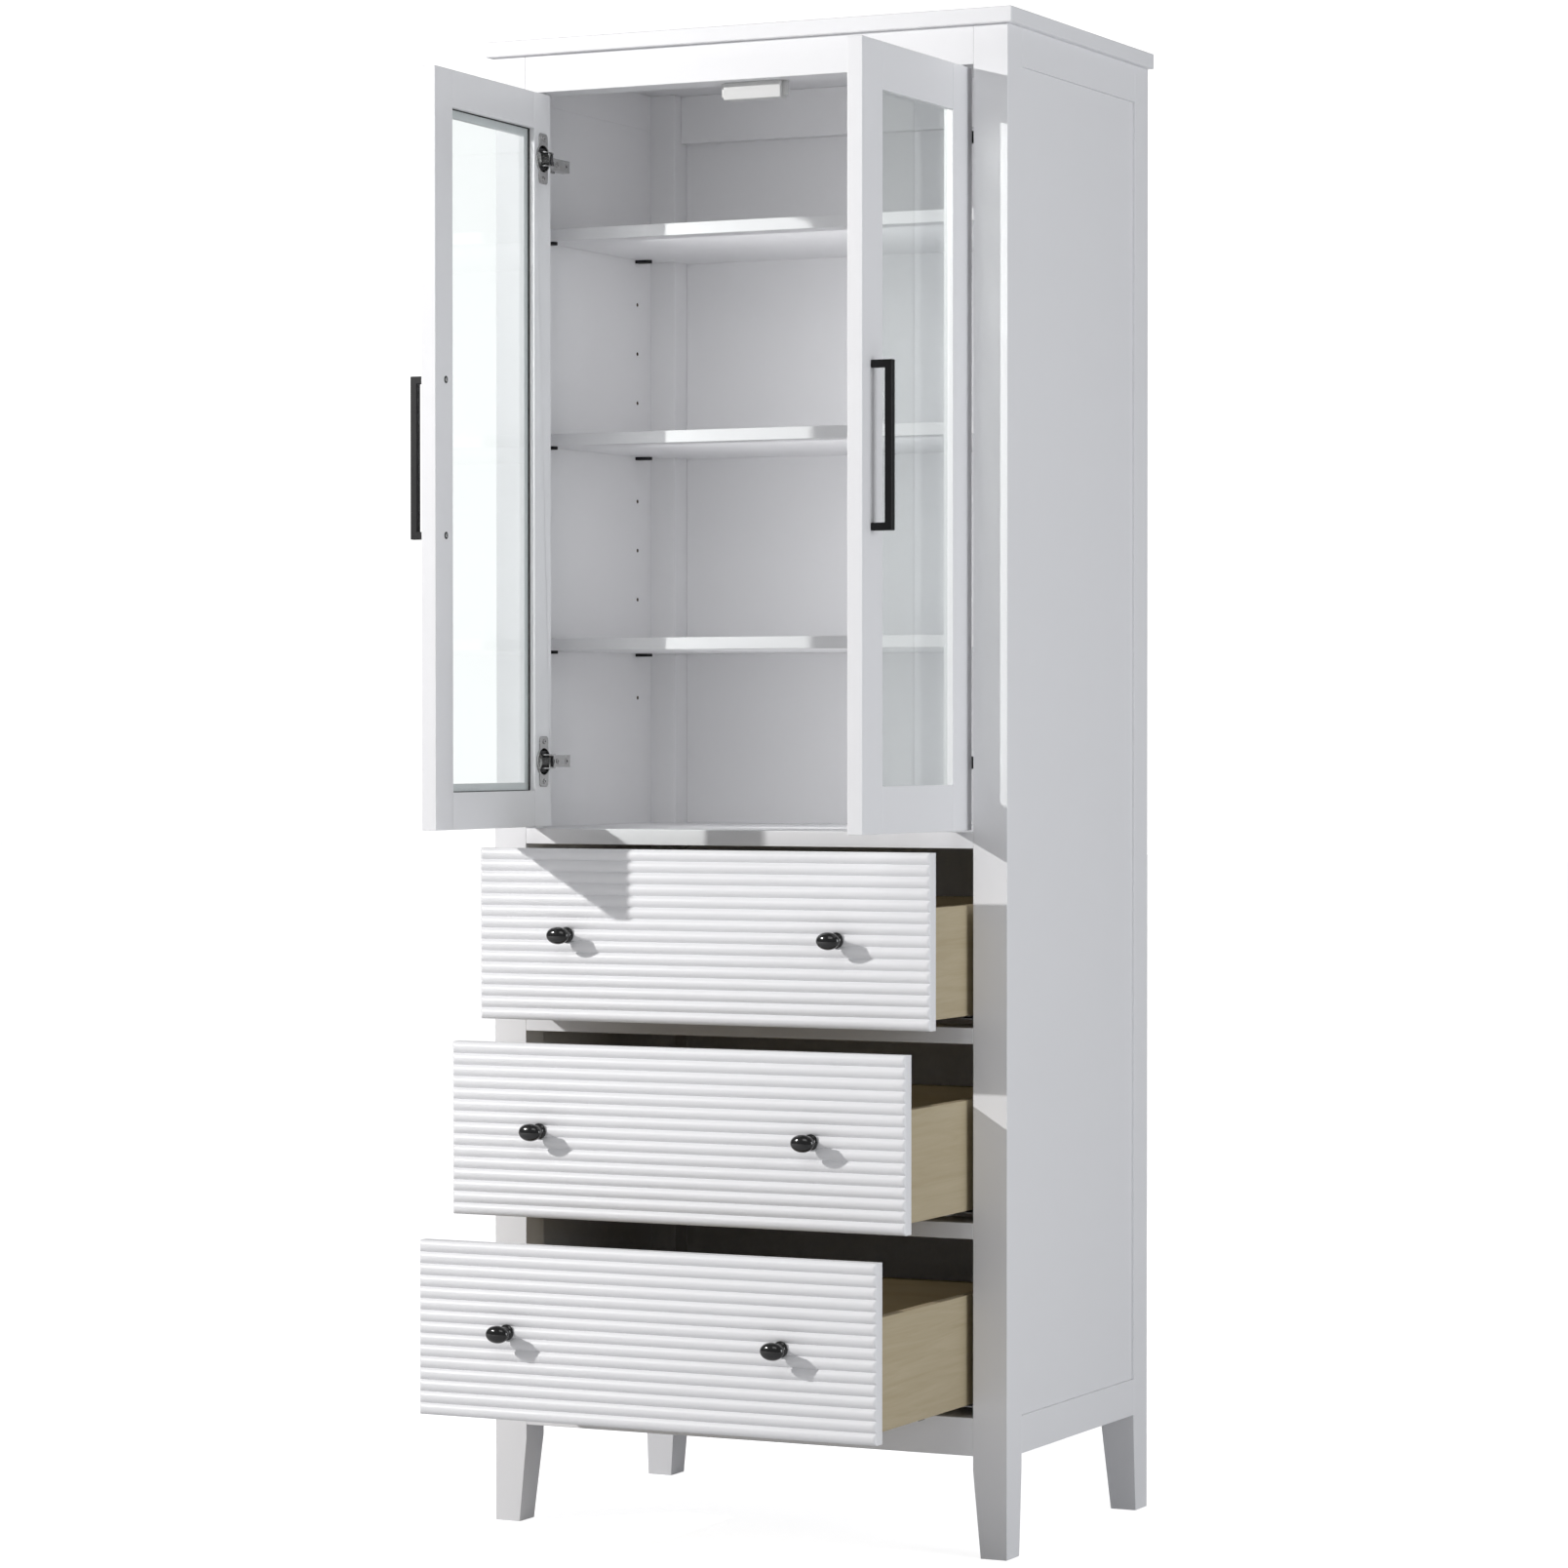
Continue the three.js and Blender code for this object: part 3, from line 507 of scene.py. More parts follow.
def set_pieces(name, points, model_piece, finish, size=1.0, spin_limit=0.0, seed=1):
    """points is a list of (place, facing) pairs in metres."""
    mesh = bpy.data.meshes.new(name)
    mesh.from_pydata([tuple(place) for place, _ in points], [], [])
    facings = mesh.attributes.new("facing", "FLOAT_VECTOR", "POINT")
    facings.data.foreach_set("vector", [v for _, way in points for v in way])
    piece = bpy.data.objects.new(name, mesh)
    values = {"Model": model_piece, "Size": size, "Most Spin": spin_limit, "Seed": seed, "Finish": finish}
    use_tree(piece, setter, values)
    settle(show(piece))
    soften(piece.data, 35)
    return piece


# %% [markdown]
# ## Turned shapes
#
# A lathe turns an outline round an axis. The helper takes (radius, height) pairs in millimetres
# and closes the poles itself when a radius is zero.

# %% Lathe helper
def loft(shape, rings, closed=False):
    steps = max(len(ring) for ring in rings)
    pairs = list(zip(rings, rings[1:])) + ([(rings[-1], rings[0])] if closed else [])
    for lower, upper in pairs:
        for i in range(steps):
            j = (i + 1) % steps
            corners = [lower[i % len(lower)], lower[j % len(lower)]]
            corners += [upper[j % len(upper)], upper[i % len(upper)]]
            unique = list(dict.fromkeys(corners))
            if len(unique) > 2:
                shape.faces.new(unique)
    return shape


def turned(shape, outline, steps=32, put=lambda x, y, z: (x, y, z)):
    rings = []
    for radius, height in outline:
        if radius == 0:
            rings.append([shape.verts.new(put(0, 0, height))])
            continue
        angles = [2 * math.pi * i / steps for i in range(steps)]
        spots = [(radius * math.cos(a), radius * math.sin(a)) for a in angles]
        rings.append([shape.verts.new(put(x, y, height)) for x, y in spots])
    return loft(shape, rings)


def prism(shape, outline, levels, put):
    rings = [[shape.verts.new(put(a, b, level)) for a, b in outline] for level in levels]
    for ring in rings:
        shape.faces.new(ring)
    return loft(shape, rings)


def box_in(shape, low, high, finish_index=0):
    xs, ys, zs = zip(low, high)
    corners = [shape.verts.new((x, y, z)) for x in xs for y in ys for z in zs]
    for loop in ((0, 1, 3, 2), (4, 6, 7, 5), (0, 4, 5, 1), (2, 3, 7, 6), (0, 2, 6, 4), (1, 5, 7, 3)):
        face = shape.faces.new([corners[i] for i in loop])
        face.material_index = finish_index
    return corners


def scaled(shape, factor):
    bmesh.ops.scale(shape, vec=(factor,) * 3, verts=shape.verts)
    return shape


# %% [markdown]
# The screws have a domed head with a cross recess. The recess is a real cut: a Boolean modifier
# takes two crossed bars out of the head. A nail is a plain flat disc.

# %% Screw, nail and pin models
def model_piece(name, shape):
    return new_piece(name, shape, [])


def cross_screw(name, radius, height, recess):
    outline = [(0, 0), (radius, 0), (radius, height * 0.25), (radius * 0.86, height * 0.72),
               (radius * 0.55, height * 0.95), (0, height)]
    piece = model_piece(name, scaled(turned(bmesh.new(), outline, 24), MM))
    bars = []
    for wide, deep in ((recess, recess * 0.22), (recess * 0.22, recess)):
        shape = bmesh.new()
        box_in(shape, (-wide, -deep, height * 0.35), (wide, deep, height * 1.4))
        bars.append(model_piece(f"{name}_bar", scaled(shape, MM)))
        cut = piece.modifiers.new("recess", "BOOLEAN")
        cut.operation = "DIFFERENCE"
        cut.solver = "EXACT"
        cut.object = bars[-1]
    settle(piece)
    for bar in bars:
        bpy.data.objects.remove(bar)
    return piece


NAIL_OUTLINE = [(0, 0), (1.6, 0), (1.6, 0.3), (0, 0.45)]
DRILL_OUTLINE = [(0, -1), (2.5, -1), (2.5, 5.2), (0, 5.2)]
screw = cross_screw("screw_model", 3.6, 1.6, 2.2)
nail = model_piece("nail_model", scaled(turned(bmesh.new(), NAIL_OUTLINE, 12), MM))
drill = model_piece("drill_model", scaled(turned(bmesh.new(), DRILL_OUTLINE, 20), MM))
print("screw faces:", len(screw.data.polygons), "nail faces:", len(nail.data.polygons))


# %% [markdown]
# ## Side panels with rows of pin holes
#
# Each inner side has two columns of ten holes, 64 mm apart, so that the shelves can be moved.
# The little drill model is set on a grid of points and taken out of the panel with a Boolean
# modifier. The cut brings its own finish, which shows inside each hole: partly the bare brown
# board, partly painted shade, since its brown is much darker than raw fibreboard.

# %% Drill the side panels
front_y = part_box("front_post_left")[0].y
deck_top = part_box("deck")[1].z
HOLE_COLUMNS = (106 * MM, 360 * MM)
HOLE_PITCH = 64 * MM
TOP_HOLE = 1598.4 * MM
hole_heights = [TOP_HOLE - HOLE_PITCH * k for k in range(10)]
for side_name, side in SIDES.items():
    low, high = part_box(f"side_panel_{side_name}")
    inner_x = high.x if side < 0 else low.x
    holes = [((inner_x, front_y + y, z), (side, 0, 0)) for y in HOLE_COLUMNS for z in hole_heights]
    drills = set_pieces(f"drills_{side_name}", holes, drill, bare_board_and_hole_shade)
    ease_board(f"side_panel_{side_name}", 0.7 * MM, white_lacquer, cutter=drills)
    bpy.data.objects.remove(drills)
print("holes in each side:", len(holes))

# %% [markdown]
# ## Shelf supports
#
# Every shelf rests on four black supports: a flat tab under the shelf, a thin upright in the
# gap beside it, and a peg in a pin hole. Twelve of them are set by the same tree. Turning +Z to
# a wall's direction leaves the tab pointing down on one wall and up on the other, so each wall
# has its own model.

# %% Shelf supports
TAB_LEVELS = (-10.4, -6.5)
PEG_ABOVE_UNDERSIDE = 6.4


def support_model(up):
    shape = bmesh.new()
    outline = [(0, -6), (14, -6), (18, -5), (20.5, -2.5), (21, 0), (20.5, 2.5), (18, 5), (14, 6), (0, 6)]
    prism(shape, outline, TAB_LEVELS, lambda out, y, level: (up * level, y, out))
    box_in(shape, (-7, -5, 0.05), (4, 5, 1.25))
    turned(shape, [(0, -5), (2.4, -5), (2.4, 0.6), (0, 0.6)], 16)
    return model_piece(f"support_model_{'up' if up > 0 else 'down'}", scaled(shape, MM))


for side_name, side in SIDES.items():
    support = support_model(side)
    low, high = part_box(f"side_panel_{side_name}")
    inner_x = high.x if side < 0 else low.x
    heights = [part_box(f"shelf_{number}")[0].z + PEG_ABOVE_UNDERSIDE * MM for number in (1, 2, 3)]
    places = [((inner_x, front_y + y, z), (-side, 0, 0)) for z in heights for y in HOLE_COLUMNS]
    supports = set_pieces(f"shelf_supports_{side_name}", places, support, satin_black)
    hand_over(supports, "case")
    bpy.data.objects.remove(support)
print("supports on each side:", len(places))

# %% [markdown]
# ## The bottom of the case
#
# A thin board closes the case under the lowest drawer. It lies between the apron, the side
# rails and the back, and its top is level with the rails.

# %% Bottom board
BOTTOM_THICKNESS = 6 * MM
apron_back, rail_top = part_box("front_apron")[1].yz
back_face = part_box("back_panel")[0].y
rail_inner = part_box("side_bottom_rail_left")[1].x
post_side, post_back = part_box("front_post_left")[1].xy
rear_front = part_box("rear_post_left")[0].y
left_edge = [(post_side, apron_back), (post_side, post_back), (rail_inner, post_back),
             (rail_inner, rear_front), (post_side, rear_front), (post_side, back_face)]
outline = left_edge + [(-x, y) for x, y in reversed(left_edge)]
levels = (rail_top - BOTTOM_THICKNESS, rail_top)
bottom_board = prism(bmesh.new(), outline, levels, lambda x, y, z: (x, y, z))
hand_over(new_piece("case_bottom_board", bottom_board, [white_lacquer]), "case")
print("bottom board top:", round(rail_top, 4))

# %% [markdown]
# ## The doors
#
# Both doors are drawn open. A point on a door is easiest to give as on the bench: its distance
# from the hinge edge, its depth behind the front face and its height. `on_door` turns that
# into the place where the point is with the door open, using the hinge joint's own axis.

# %% Places on a door
joints = {joint["name"]: joint for joint in frame["joints"]}
HINGE_EDGE_TO_PIVOT = 10.5
FACE_TO_PIVOT = 4.5
DOOR_WIDTH = 298.25
DOOR_THICKNESS = 19
LEAF_GAP = 0.3
door_bottom, door_top = (corner.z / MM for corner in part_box("door_left_hinge_stile"))


def on_door(side_name, across, depth, height):
    side = SIDES[side_name]
    joint = joints[f"door_{side_name}_hinge"]
    pivot = Vector(joint["pos_m"])
    local = Vector((side * (HINGE_EDGE_TO_PIVOT - across), depth - FACE_TO_PIVOT, 0)) * MM
    turned_open = Matrix.Rotation(-joint["axis"][2] * math.radians(joint["range_deg"][1]), 3, "Z") @ local
    return Vector((pivot.x + turned_open.x, pivot.y + turned_open.y, height * MM))


def behind_door(side_name):
    return (on_door(side_name, 0, 1, 0) - on_door(side_name, 0, 0, 0)).normalized()


def fit_to_door(shape, side_name):
    for vertex in shape.verts:
        vertex.co = on_door(side_name, *vertex.co)
    return shape


# %% [markdown]
# The glass sits in a rebate against the lip of the frame. A thin black rubber gasket fills the
# gap round its edge. It is one closed ring: four corners, each with an inside and an outside.

# %% Glass and gaskets
REBATE_SIDE, REBATE_END = 43.5, 44.5
GASKET_INSETS = (0.1, 1.0)
GASKET_DEPTHS = (7.6, 12.4)


def gasket_ring(shape):
    corners = []
    for right, top in ((0, 0), (1, 0), (1, 1), (0, 1)):
        section = []
        for inset, depths in zip(GASKET_INSETS, (GASKET_DEPTHS, GASKET_DEPTHS[::-1])):
            x = (REBATE_SIDE + inset, DOOR_WIDTH - REBATE_SIDE - inset)[right]
            z = (door_bottom + REBATE_END + inset, door_top - REBATE_END - inset)[top]
            section += [shape.verts.new((x, depth, z)) for depth in depths]
        corners.append(section)
    return loft(shape, corners, closed=True)


for side_name in SIDES:
    frame["nodes"][f"door_{side_name}_glass"].material_slots[0].material = glass
    gasket = fit_to_door(gasket_ring(bmesh.new()), side_name)
    piece = new_piece(f"door_{side_name}_gasket", gasket, [black_rubber])
    hand_over(piece, f"door_{side_name}")
print("gaskets: 2")

# %% [markdown]
# ## Door handles
#
# A handle is a square bar with a square leg at each end, powder coated in satin black. Its
# edges are eased by a millimetre. Two screws hold it from behind: each is set in a small black
# cup washer on the inner face of the door.

# %% Handles and their screws
HANDLE_FROM_FREE_EDGE = 26
HALF_BAR = 4.5
WASHER = [(2.2, 0.02), (4.4, 0.02), (4.4, 0.35), (3.9, 0.6), (2.9, 0.6), (2.2, 0.02)]
for side_name in SIDES:
    ease_board(f"door_{side_name}_handle", 0.9 * MM, satin_black)
    low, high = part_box(f"door_{side_name}_handle")
    heights = (low.z / MM + HALF_BAR, high.z / MM - HALF_BAR)
    across = DOOR_WIDTH - HANDLE_FROM_FREE_EDGE
    facing = behind_door(side_name)
    places = [(on_door(side_name, across, DOOR_THICKNESS + 0.2, z), facing) for z in heights]
    screws = set_pieces(f"handle_screws_{side_name}", places, screw, nickel, 0.75, 1.5, 3)
    hand_over(screws, f"door_{side_name}")
    washers = bmesh.new()
    for z in heights:
        turned(washers, WASHER, 28, lambda x, y, h: (across + x, DOOR_THICKNESS + h, z + y))
    bmesh.ops.remove_doubles(washers, verts=washers.verts, dist=1e-4)
    piece = new_piece(f"handle_washers_{side_name}", fit_to_door(washers, side_name), [satin_black])
    hand_over(piece, f"door_{side_name}")
print("handle screws: 4")

# %% [markdown]
# ## Concealed hinges
#
# The part of the hinge on the door is a pressed cup with a flange. In plan the flange is a
# disc joined to a long rounded plate, so its outline is the larger of the two at every angle.
# One loft then runs from the middle of the cup floor, up the inner wall, over the flange and
# back down the outer wall, which gives a thin closed shell.

# %% Hinge cups
CUP_FROM_HINGE_EDGE = 21.5
CUP_STEPS = 72
CUP_FLOOR, CUP_UNDERSIDE = 8.6, 7.6
FLANGE_DISC, FLANGE_HALF_WIDTH, FLANGE_HALF_LENGTH = 17.8, 11.5, 31
CHEEK_RADII, CHEEK_ANGLES = (17.2, 21.6), (52, 124)


def squared_oval(angle, half_width, half_length, power):
    across = (abs(math.cos(angle)) / half_width) ** power
    along = (abs(math.sin(angle)) / half_length) ** power
    return (across + along) ** (-1 / power)


def flange_radius(angle):
    return max(FLANGE_DISC, squared_oval(angle, FLANGE_HALF_WIDTH, FLANGE_HALF_LENGTH, 9))


def hinge_cup(height):
    shape = bmesh.new()
    face = DOOR_THICKNESS + LEAF_GAP

    def ring(radius, depth):
        spots = []
        for i in range(CUP_STEPS):
            angle = 2 * math.pi * i / CUP_STEPS
            reach = radius(angle) if callable(radius) else radius
            x = CUP_FROM_HINGE_EDGE + reach * math.cos(angle)
            spots.append(shape.verts.new((x, depth, height + reach * math.sin(angle))))
        return spots

    floor = [shape.verts.new((CUP_FROM_HINGE_EDGE, CUP_FLOOR, height))]
    under = [shape.verts.new((CUP_FROM_HINGE_EDGE, CUP_UNDERSIDE, height))]
    inside = [floor, ring(13.5, CUP_FLOOR), ring(15.6, CUP_FLOOR + 1), ring(16, 11), ring(16, face + 0.7)]
    flange = [ring(16.5, face + 1.2), ring(lambda a: flange_radius(a) - 0.5, face + 1.2),
              ring(flange_radius, face + 0.8), ring(flange_radius, face)]
    outside = [ring(17.2, face), ring(17.2, CUP_FLOOR), ring(16.2, CUP_UNDERSIDE), under]
    loft(shape, inside + flange + outside)
    # Two satin black bars inside the cup stand partly for the dark plastic damper of a soft-close hinge and
    # partly for painted shade, so the cup's mouth reads dark instead of reflecting the bright room.
    left, right = CUP_FROM_HINGE_EDGE - 9, CUP_FROM_HINGE_EDGE + 9
    for middle in (height - 11.5, height + 11.5):
        box_in(shape, (left, 9, middle - 1.8), (right, 18.6, middle + 1.8), 1)
    return shape


def arc_band(shape, radii, angles, heights, put, steps=14):
    inner, outer = radii
    low_z, high_z = heights
    sections = []
    for i in range(steps + 1):
        angle = math.radians(angles[0] + (angles[1] - angles[0]) * i / steps)
        x, y = math.cos(angle), math.sin(angle)
        corners = ((inner, low_z), (outer, low_z), (outer, high_z), (inner, high_z))
        sections.append([shape.verts.new(put(r * x, r * y, h)) for r, h in corners])
    loft(shape, sections)
    shape.faces.new(sections[0])
    shape.faces.new(sections[-1])
    return shape


for side_name in SIDES:
    for level in ("upper", "lower"):
        node = f"hinge_cup_{side_name}_{level}"
        low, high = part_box(node)
        middle = (low.z + high.z) / 2 / MM
        cup = hinge_cup(middle)
        for low_z, high_z in ((7.7, 8.9), (-8.9, -7.7)):
            arc_band(cup, CHEEK_RADII, CHEEK_ANGLES, (middle + low_z, middle + high_z),
                     lambda x, y, z: (HINGE_EDGE_TO_PIVOT + x, FACE_TO_PIVOT + y, z))
        piece = new_piece(f"{node}_shell", fit_to_door(cup, side_name), [nickel, satin_black])
        hand_over(piece, f"door_{side_name}", [node])
        seat_depth = DOOR_THICKNESS + LEAF_GAP + 1.15
        seats = [(on_door(side_name, CUP_FROM_HINGE_EDGE, seat_depth, middle + z), behind_door(side_name))
                 for z in (-24.5, 24.5)]
        screws = set_pieces(f"{node}_screws", seats, screw, nickel, 0.9, 1.5, 5)
        hand_over(screws, f"door_{side_name}")
print("hinge cups: 4")

# %% [markdown]
# The arm of the hinge is a folded steel channel on a winged mounting plate, screwed to the
# post. A curved horn reaches from it into the cup. The horn is centred on the pivot, so it
# slides between the two links of the cup without touching them as the door swings.

# %% Hinge arms
POST_INNER = abs(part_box("front_post_left")[1].x) / MM
PIVOT_FROM_POST = 13
ARM_FRONT, ARM_REAR, ARM_HALF_WIDTH = 23.9, 87.9, 7.5
ARM_UNDER, ARM_FACE = 12.6, 14
BASE_REAR, BASE_TOP = 69.9, 3
PLATE_MIDDLE, CAM_DEPTH = 37, 79
CAM_RIM = [(1.5, 14), (3.9, 14), (3.9, 14.25), (3.4, 14.5), (1.9, 14.5), (1.5, 14)]
CAM_DISC = [(0, 14.02), (3.1, 14.02), (3.1, 14.3), (0, 14.3)]
HORN_RADII, HORN_ANGLES = (18.4, 21), (15, 100)


def on_post(side_name, off_post, behind_front, height):
    x = SIDES[side_name] * (POST_INNER - off_post)
    return Vector((x * MM, front_y + behind_front * MM, height * MM))


def winged_plate(shape, middle):
    outline = []
    for i in range(56):
        angle = 2 * math.pi * i / 56
        wing = squared_oval(angle, 6.5, 25, 6)
        outline.append((PLATE_MIDDLE + wing * math.cos(angle), middle + wing * math.sin(angle)))
    prism(shape, outline, (0.02, 1.9), lambda y, z, off: (off, y, z))


def hinge_arm(middle):
    shape = bmesh.new()
    low_z, high_z = middle - ARM_HALF_WIDTH, middle + ARM_HALF_WIDTH
    box_in(shape, (ARM_UNDER, ARM_FRONT, low_z), (ARM_FACE, ARM_REAR, high_z))
    for start, end in ((-7.5, -6.3), (6.3, 7.5)):
        box_in(shape, (BASE_TOP, ARM_FRONT, middle + start), (ARM_UNDER, ARM_REAR, middle + end))
    box_in(shape, (0.02, ARM_FRONT + 0.6, middle - 9), (BASE_TOP, BASE_REAR, middle + 9))
    box_in(shape, (BASE_TOP, 62, middle - 5.5), (11, 86, middle + 5.5))
    winged_plate(shape, middle)
    turned(shape, CAM_RIM, 24, lambda x, y, h: (h, CAM_DEPTH + x, middle + y))
    bmesh.ops.remove_doubles(shape, verts=shape.verts, dist=1e-4)
    return shape


# Painted shade: the horn, a disc in the middle of the cam ring and a thin patch over the arm's slot get a
# dark steel colour. It stands for shade and the reflection of dark surroundings on bright nickel.
def painted_shade_parts(middle):
    shape = bmesh.new()
    turned(shape, CAM_DISC, 24, lambda x, y, h: (h, CAM_DEPTH + x, middle + y))
    box_in(shape, (14.02, 34, middle - 2.4), (14.12, 48, middle + 2.4))
    return arc_band(shape, HORN_RADII, HORN_ANGLES, (middle - 7, middle + 7),
                    lambda x, y, z: (PIVOT_FROM_POST + x, FACE_TO_PIVOT + y, z), steps=20)


for side_name in SIDES:
    for level in ("upper", "lower"):
        node = f"hinge_arm_{side_name}_{level}"
        low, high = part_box(node)
        middle = (low.z + high.z) / 2 / MM
        arm, horn = hinge_arm(middle), painted_shade_parts(middle)
        for vertex in [*arm.verts, *horn.verts]:
            vertex.co = on_post(side_name, *vertex.co)
        hand_over(new_piece(f"{node}_steel", arm, [nickel]), "case", [node])
        hand_over(new_piece(f"{node}_horn", horn, [painted_shade_steel]), "case")
        away = Vector((-SIDES[side_name], 0, 0))
        seats = [(on_post(side_name, 1.85, PLATE_MIDDLE, middle + z), away) for z in (-16, 16)]
        seats.append((on_post(side_name, ARM_FACE - 0.1, 55, middle), away))
        screws = set_pieces(f"{node}_screws", seats, screw, nickel, 0.95, 1.5, 7)
        hand_over(screws, "case")
print("hinge arms: 4")

# %% [markdown]
# ## The magnetic catch
#
# A white moulded bar hangs under the top rail, where both doors meet. Its body is the CAD
# block with rounded edges, and a small ear at each end is made for its fixing screw; the
# screws are not drawn.

# %% Catch
ease_board("door_catch", 1.2 * MM, white_plastic)
low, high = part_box("door_catch")
ears = bmesh.new()
for side in SIDES.values():
    edge = (high.x if side > 0 else low.x) / MM
    left, right = sorted((edge + side * 0.05, edge + side * 5))
    box_in(ears, (left, low.y / MM + 6, low.z / MM + 4), (right, high.y / MM - 3, high.z / MM - 0.1))
bmesh.ops.bevel(ears, geom=list(ears.edges), offset=0.6, segments=2, affect="EDGES", profile=0.5)
hand_over(new_piece("catch_ears", scaled(ears, MM), [white_plastic]), "case")
print("catch:", [round(v, 4) for v in low])

# %% [markdown]
# ## Reeded drawer fronts
#
# The face of a drawer is a row of fifteen convex beads, and its two ends are rounded over. The
# shape follows a rule, so Geometry Nodes make it: every point of a finely divided board that
# belongs to the face is pushed back by the bead's arc, or by the rounded end where that is
# deeper. The number of beads and their depth are inputs of the tree.

# %% The beading tree
beading, beading_in, beading_out = start_group("reeded_face", "GeometryNodeTree", [
    ("Board", "Geometry", None),
    ("Beads", "Float", 15.0),
    ("Height", "Float", 0.207),
    ("Half Width", "Float", 0.2995),
    ("Bottom", "Float", 0.0),
    ("Bead Depth", "Float", 0.0035),
    ("End Radius", "Float", 0.005),
    ("Finish", "Material", None),
], [("Geometry", "Geometry")])
given = beading_in.outputs


def calc(operation, first, second=None):
    made = add_node(beading, "ShaderNodeMath", {"operation": operation})
    for socket, value in zip(made.inputs, (first, second)):
        if isinstance(value, float):
            socket.default_value = value
        elif value is not None:
            beading.links.new(value, socket)
    return made.outputs[0]


place = beading.nodes.new("GeometryNodeInputPosition")
axes = beading.nodes.new("ShaderNodeSeparateXYZ")
wire(beading, [(place, "Position", axes, "Vector")])
pitch = calc("DIVIDE", given["Height"], given["Beads"])
half_pitch = calc("MULTIPLY", pitch, 0.5)
half_square = calc("MULTIPLY", half_pitch, half_pitch)
depth_square = calc("MULTIPLY", given["Bead Depth"], given["Bead Depth"])
radius = calc("DIVIDE", calc("ADD", half_square, depth_square), calc("MULTIPLY", given["Bead Depth"], 2.0))
rise = calc("SUBTRACT", axes.outputs["Z"], given["Bottom"])
from_crest = calc("SUBTRACT", half_pitch, calc("PINGPONG", rise, half_pitch))
inside = calc("SUBTRACT", calc("MULTIPLY", radius, radius), calc("MULTIPLY", from_crest, from_crest))
bead_depth = calc("SUBTRACT", radius, calc("SQRT", inside))
from_end = calc("SUBTRACT", given["Half Width"], calc("ABSOLUTE", axes.outputs["X"]))
end_gap = calc("MAXIMUM", calc("SUBTRACT", given["End Radius"], from_end), 0.0)
end_square = calc("SUBTRACT", calc("MULTIPLY", given["End Radius"], given["End Radius"]),
                  calc("MULTIPLY", end_gap, end_gap))
end_depth = calc("SUBTRACT", given["End Radius"], calc("SQRT", calc("MAXIMUM", end_square, 0.0)))
offset = beading.nodes.new("ShaderNodeCombineXYZ")
beading.links.new(calc("MAXIMUM", bead_depth, end_depth), offset.inputs["Y"])
on_face = add_node(beading, "GeometryNodeInputNamedAttribute", {"data_type": "BOOLEAN"}, Name="face_point")
push = beading.nodes.new("GeometryNodeSetPosition")
bead_solid = beading.nodes.new("GeometryNodeRealizeInstances")
bead_dress = beading.nodes.new("GeometryNodeSetMaterial")
wire(beading, [
    (beading_in, "Board", push, "Geometry"),
    (on_face, "Attribute", push, "Selection"),
    (offset, "Vector", push, "Offset"),
    (push, "Geometry", bead_solid, "Geometry"),
    (bead_solid, "Geometry", bead_dress, "Geometry"),
    (beading_in, "Finish", bead_dress, "Material"),
    (bead_dress, "Geometry", beading_out, "Geometry"),
])
print("tree:", beading.name, "nodes:", len(beading.nodes))

# %% [markdown]
# The board that the tree works on is a closed box. Its face is divided into eight rows a bead
# and into narrow columns near both ends, where the round-over needs them.

# %% Drawer fronts
BEADS = 15
ROWS = BEADS * 8
END_COLUMNS = (0, 0.1, 0.4, 0.9, 1.6, 2.5, 3.6, 5.0)
drawer_numbers = (1, 2, 3)
for number in drawer_numbers:
    node = f"drawer_{number}_front"
    low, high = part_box(node)
    columns = [low.x + d * MM for d in END_COLUMNS] + [high.x - d * MM for d in reversed(END_COLUMNS)]
    rows = [low.z + (high.z - low.z) * k / ROWS for k in range(ROWS + 1)]
    shape = bmesh.new()
    mark = shape.verts.layers.bool.new("face_point")
    grid = [[shape.verts.new((x, low.y, z)) for x in columns] for z in rows]
    for vertex in shape.verts:
        vertex[mark] = True
    for lower, upper in zip(grid, grid[1:]):
        for i in range(len(columns) - 1):
            shape.faces.new((lower[i], lower[i + 1], upper[i + 1], upper[i]))
    rim = grid[0] + [line[-1] for line in grid[1:]] + grid[-1][-2::-1] + [line[0] for line in grid[-2:0:-1]]
    back = [shape.verts.new((vertex.co.x, high.y, vertex.co.z)) for vertex in rim]
    loft(shape, [rim, back])
    shape.faces.new(back)
    board = new_piece(f"{node}_reeded", shape, [white_lacquer])
    use_tree(board, beading, {"Beads": float(BEADS), "Height": high.z - low.z, "Half Width": high.x,
                              "Bottom": low.z, "Bead Depth": 3.5 * MM, "End Radius": 5 * MM,
                              "Finish": white_lacquer})
    settle(board)
    soften(board.data, 32)
    hand_over(board, f"drawer_{number}", [node])
print("faces on a drawer front:", len(board.data.polygons))

# %% [markdown]
# ## Knobs
#
# A knob is turned on a lathe and then pressed oval: a round base, a waisted neck and a head
# that is half as wide again as it is high. The outline is turned round, and the points of the
# head are then moved sideways.

# %% Knobs
NECK = [(0, 0), (9.2, 0), (9.5, 0.3), (9.5, 1.1), (9.1, 1.6), (7.8, 2.2), (6.7, 3.2), (6.05, 5), (5.8, 7.5),
        (6, 10), (6.4, 12), (7.2, 13.8)]
HEAD_MIDDLE, HEAD_HALF, HEAD_RADIUS, HEAD_STEPS = 22.5, 7.5, 10.5, 12
head_angles = [math.radians(-38 + 128 * i / HEAD_STEPS) for i in range(HEAD_STEPS)]
head = [(HEAD_RADIUS * math.cos(a), HEAD_MIDDLE + HEAD_HALF * math.sin(a)) for a in head_angles]
KNOB_OUTLINE = NECK + head + [(0, HEAD_MIDDLE + HEAD_HALF)]
OVAL = 30 / 21  # width of the head over its height


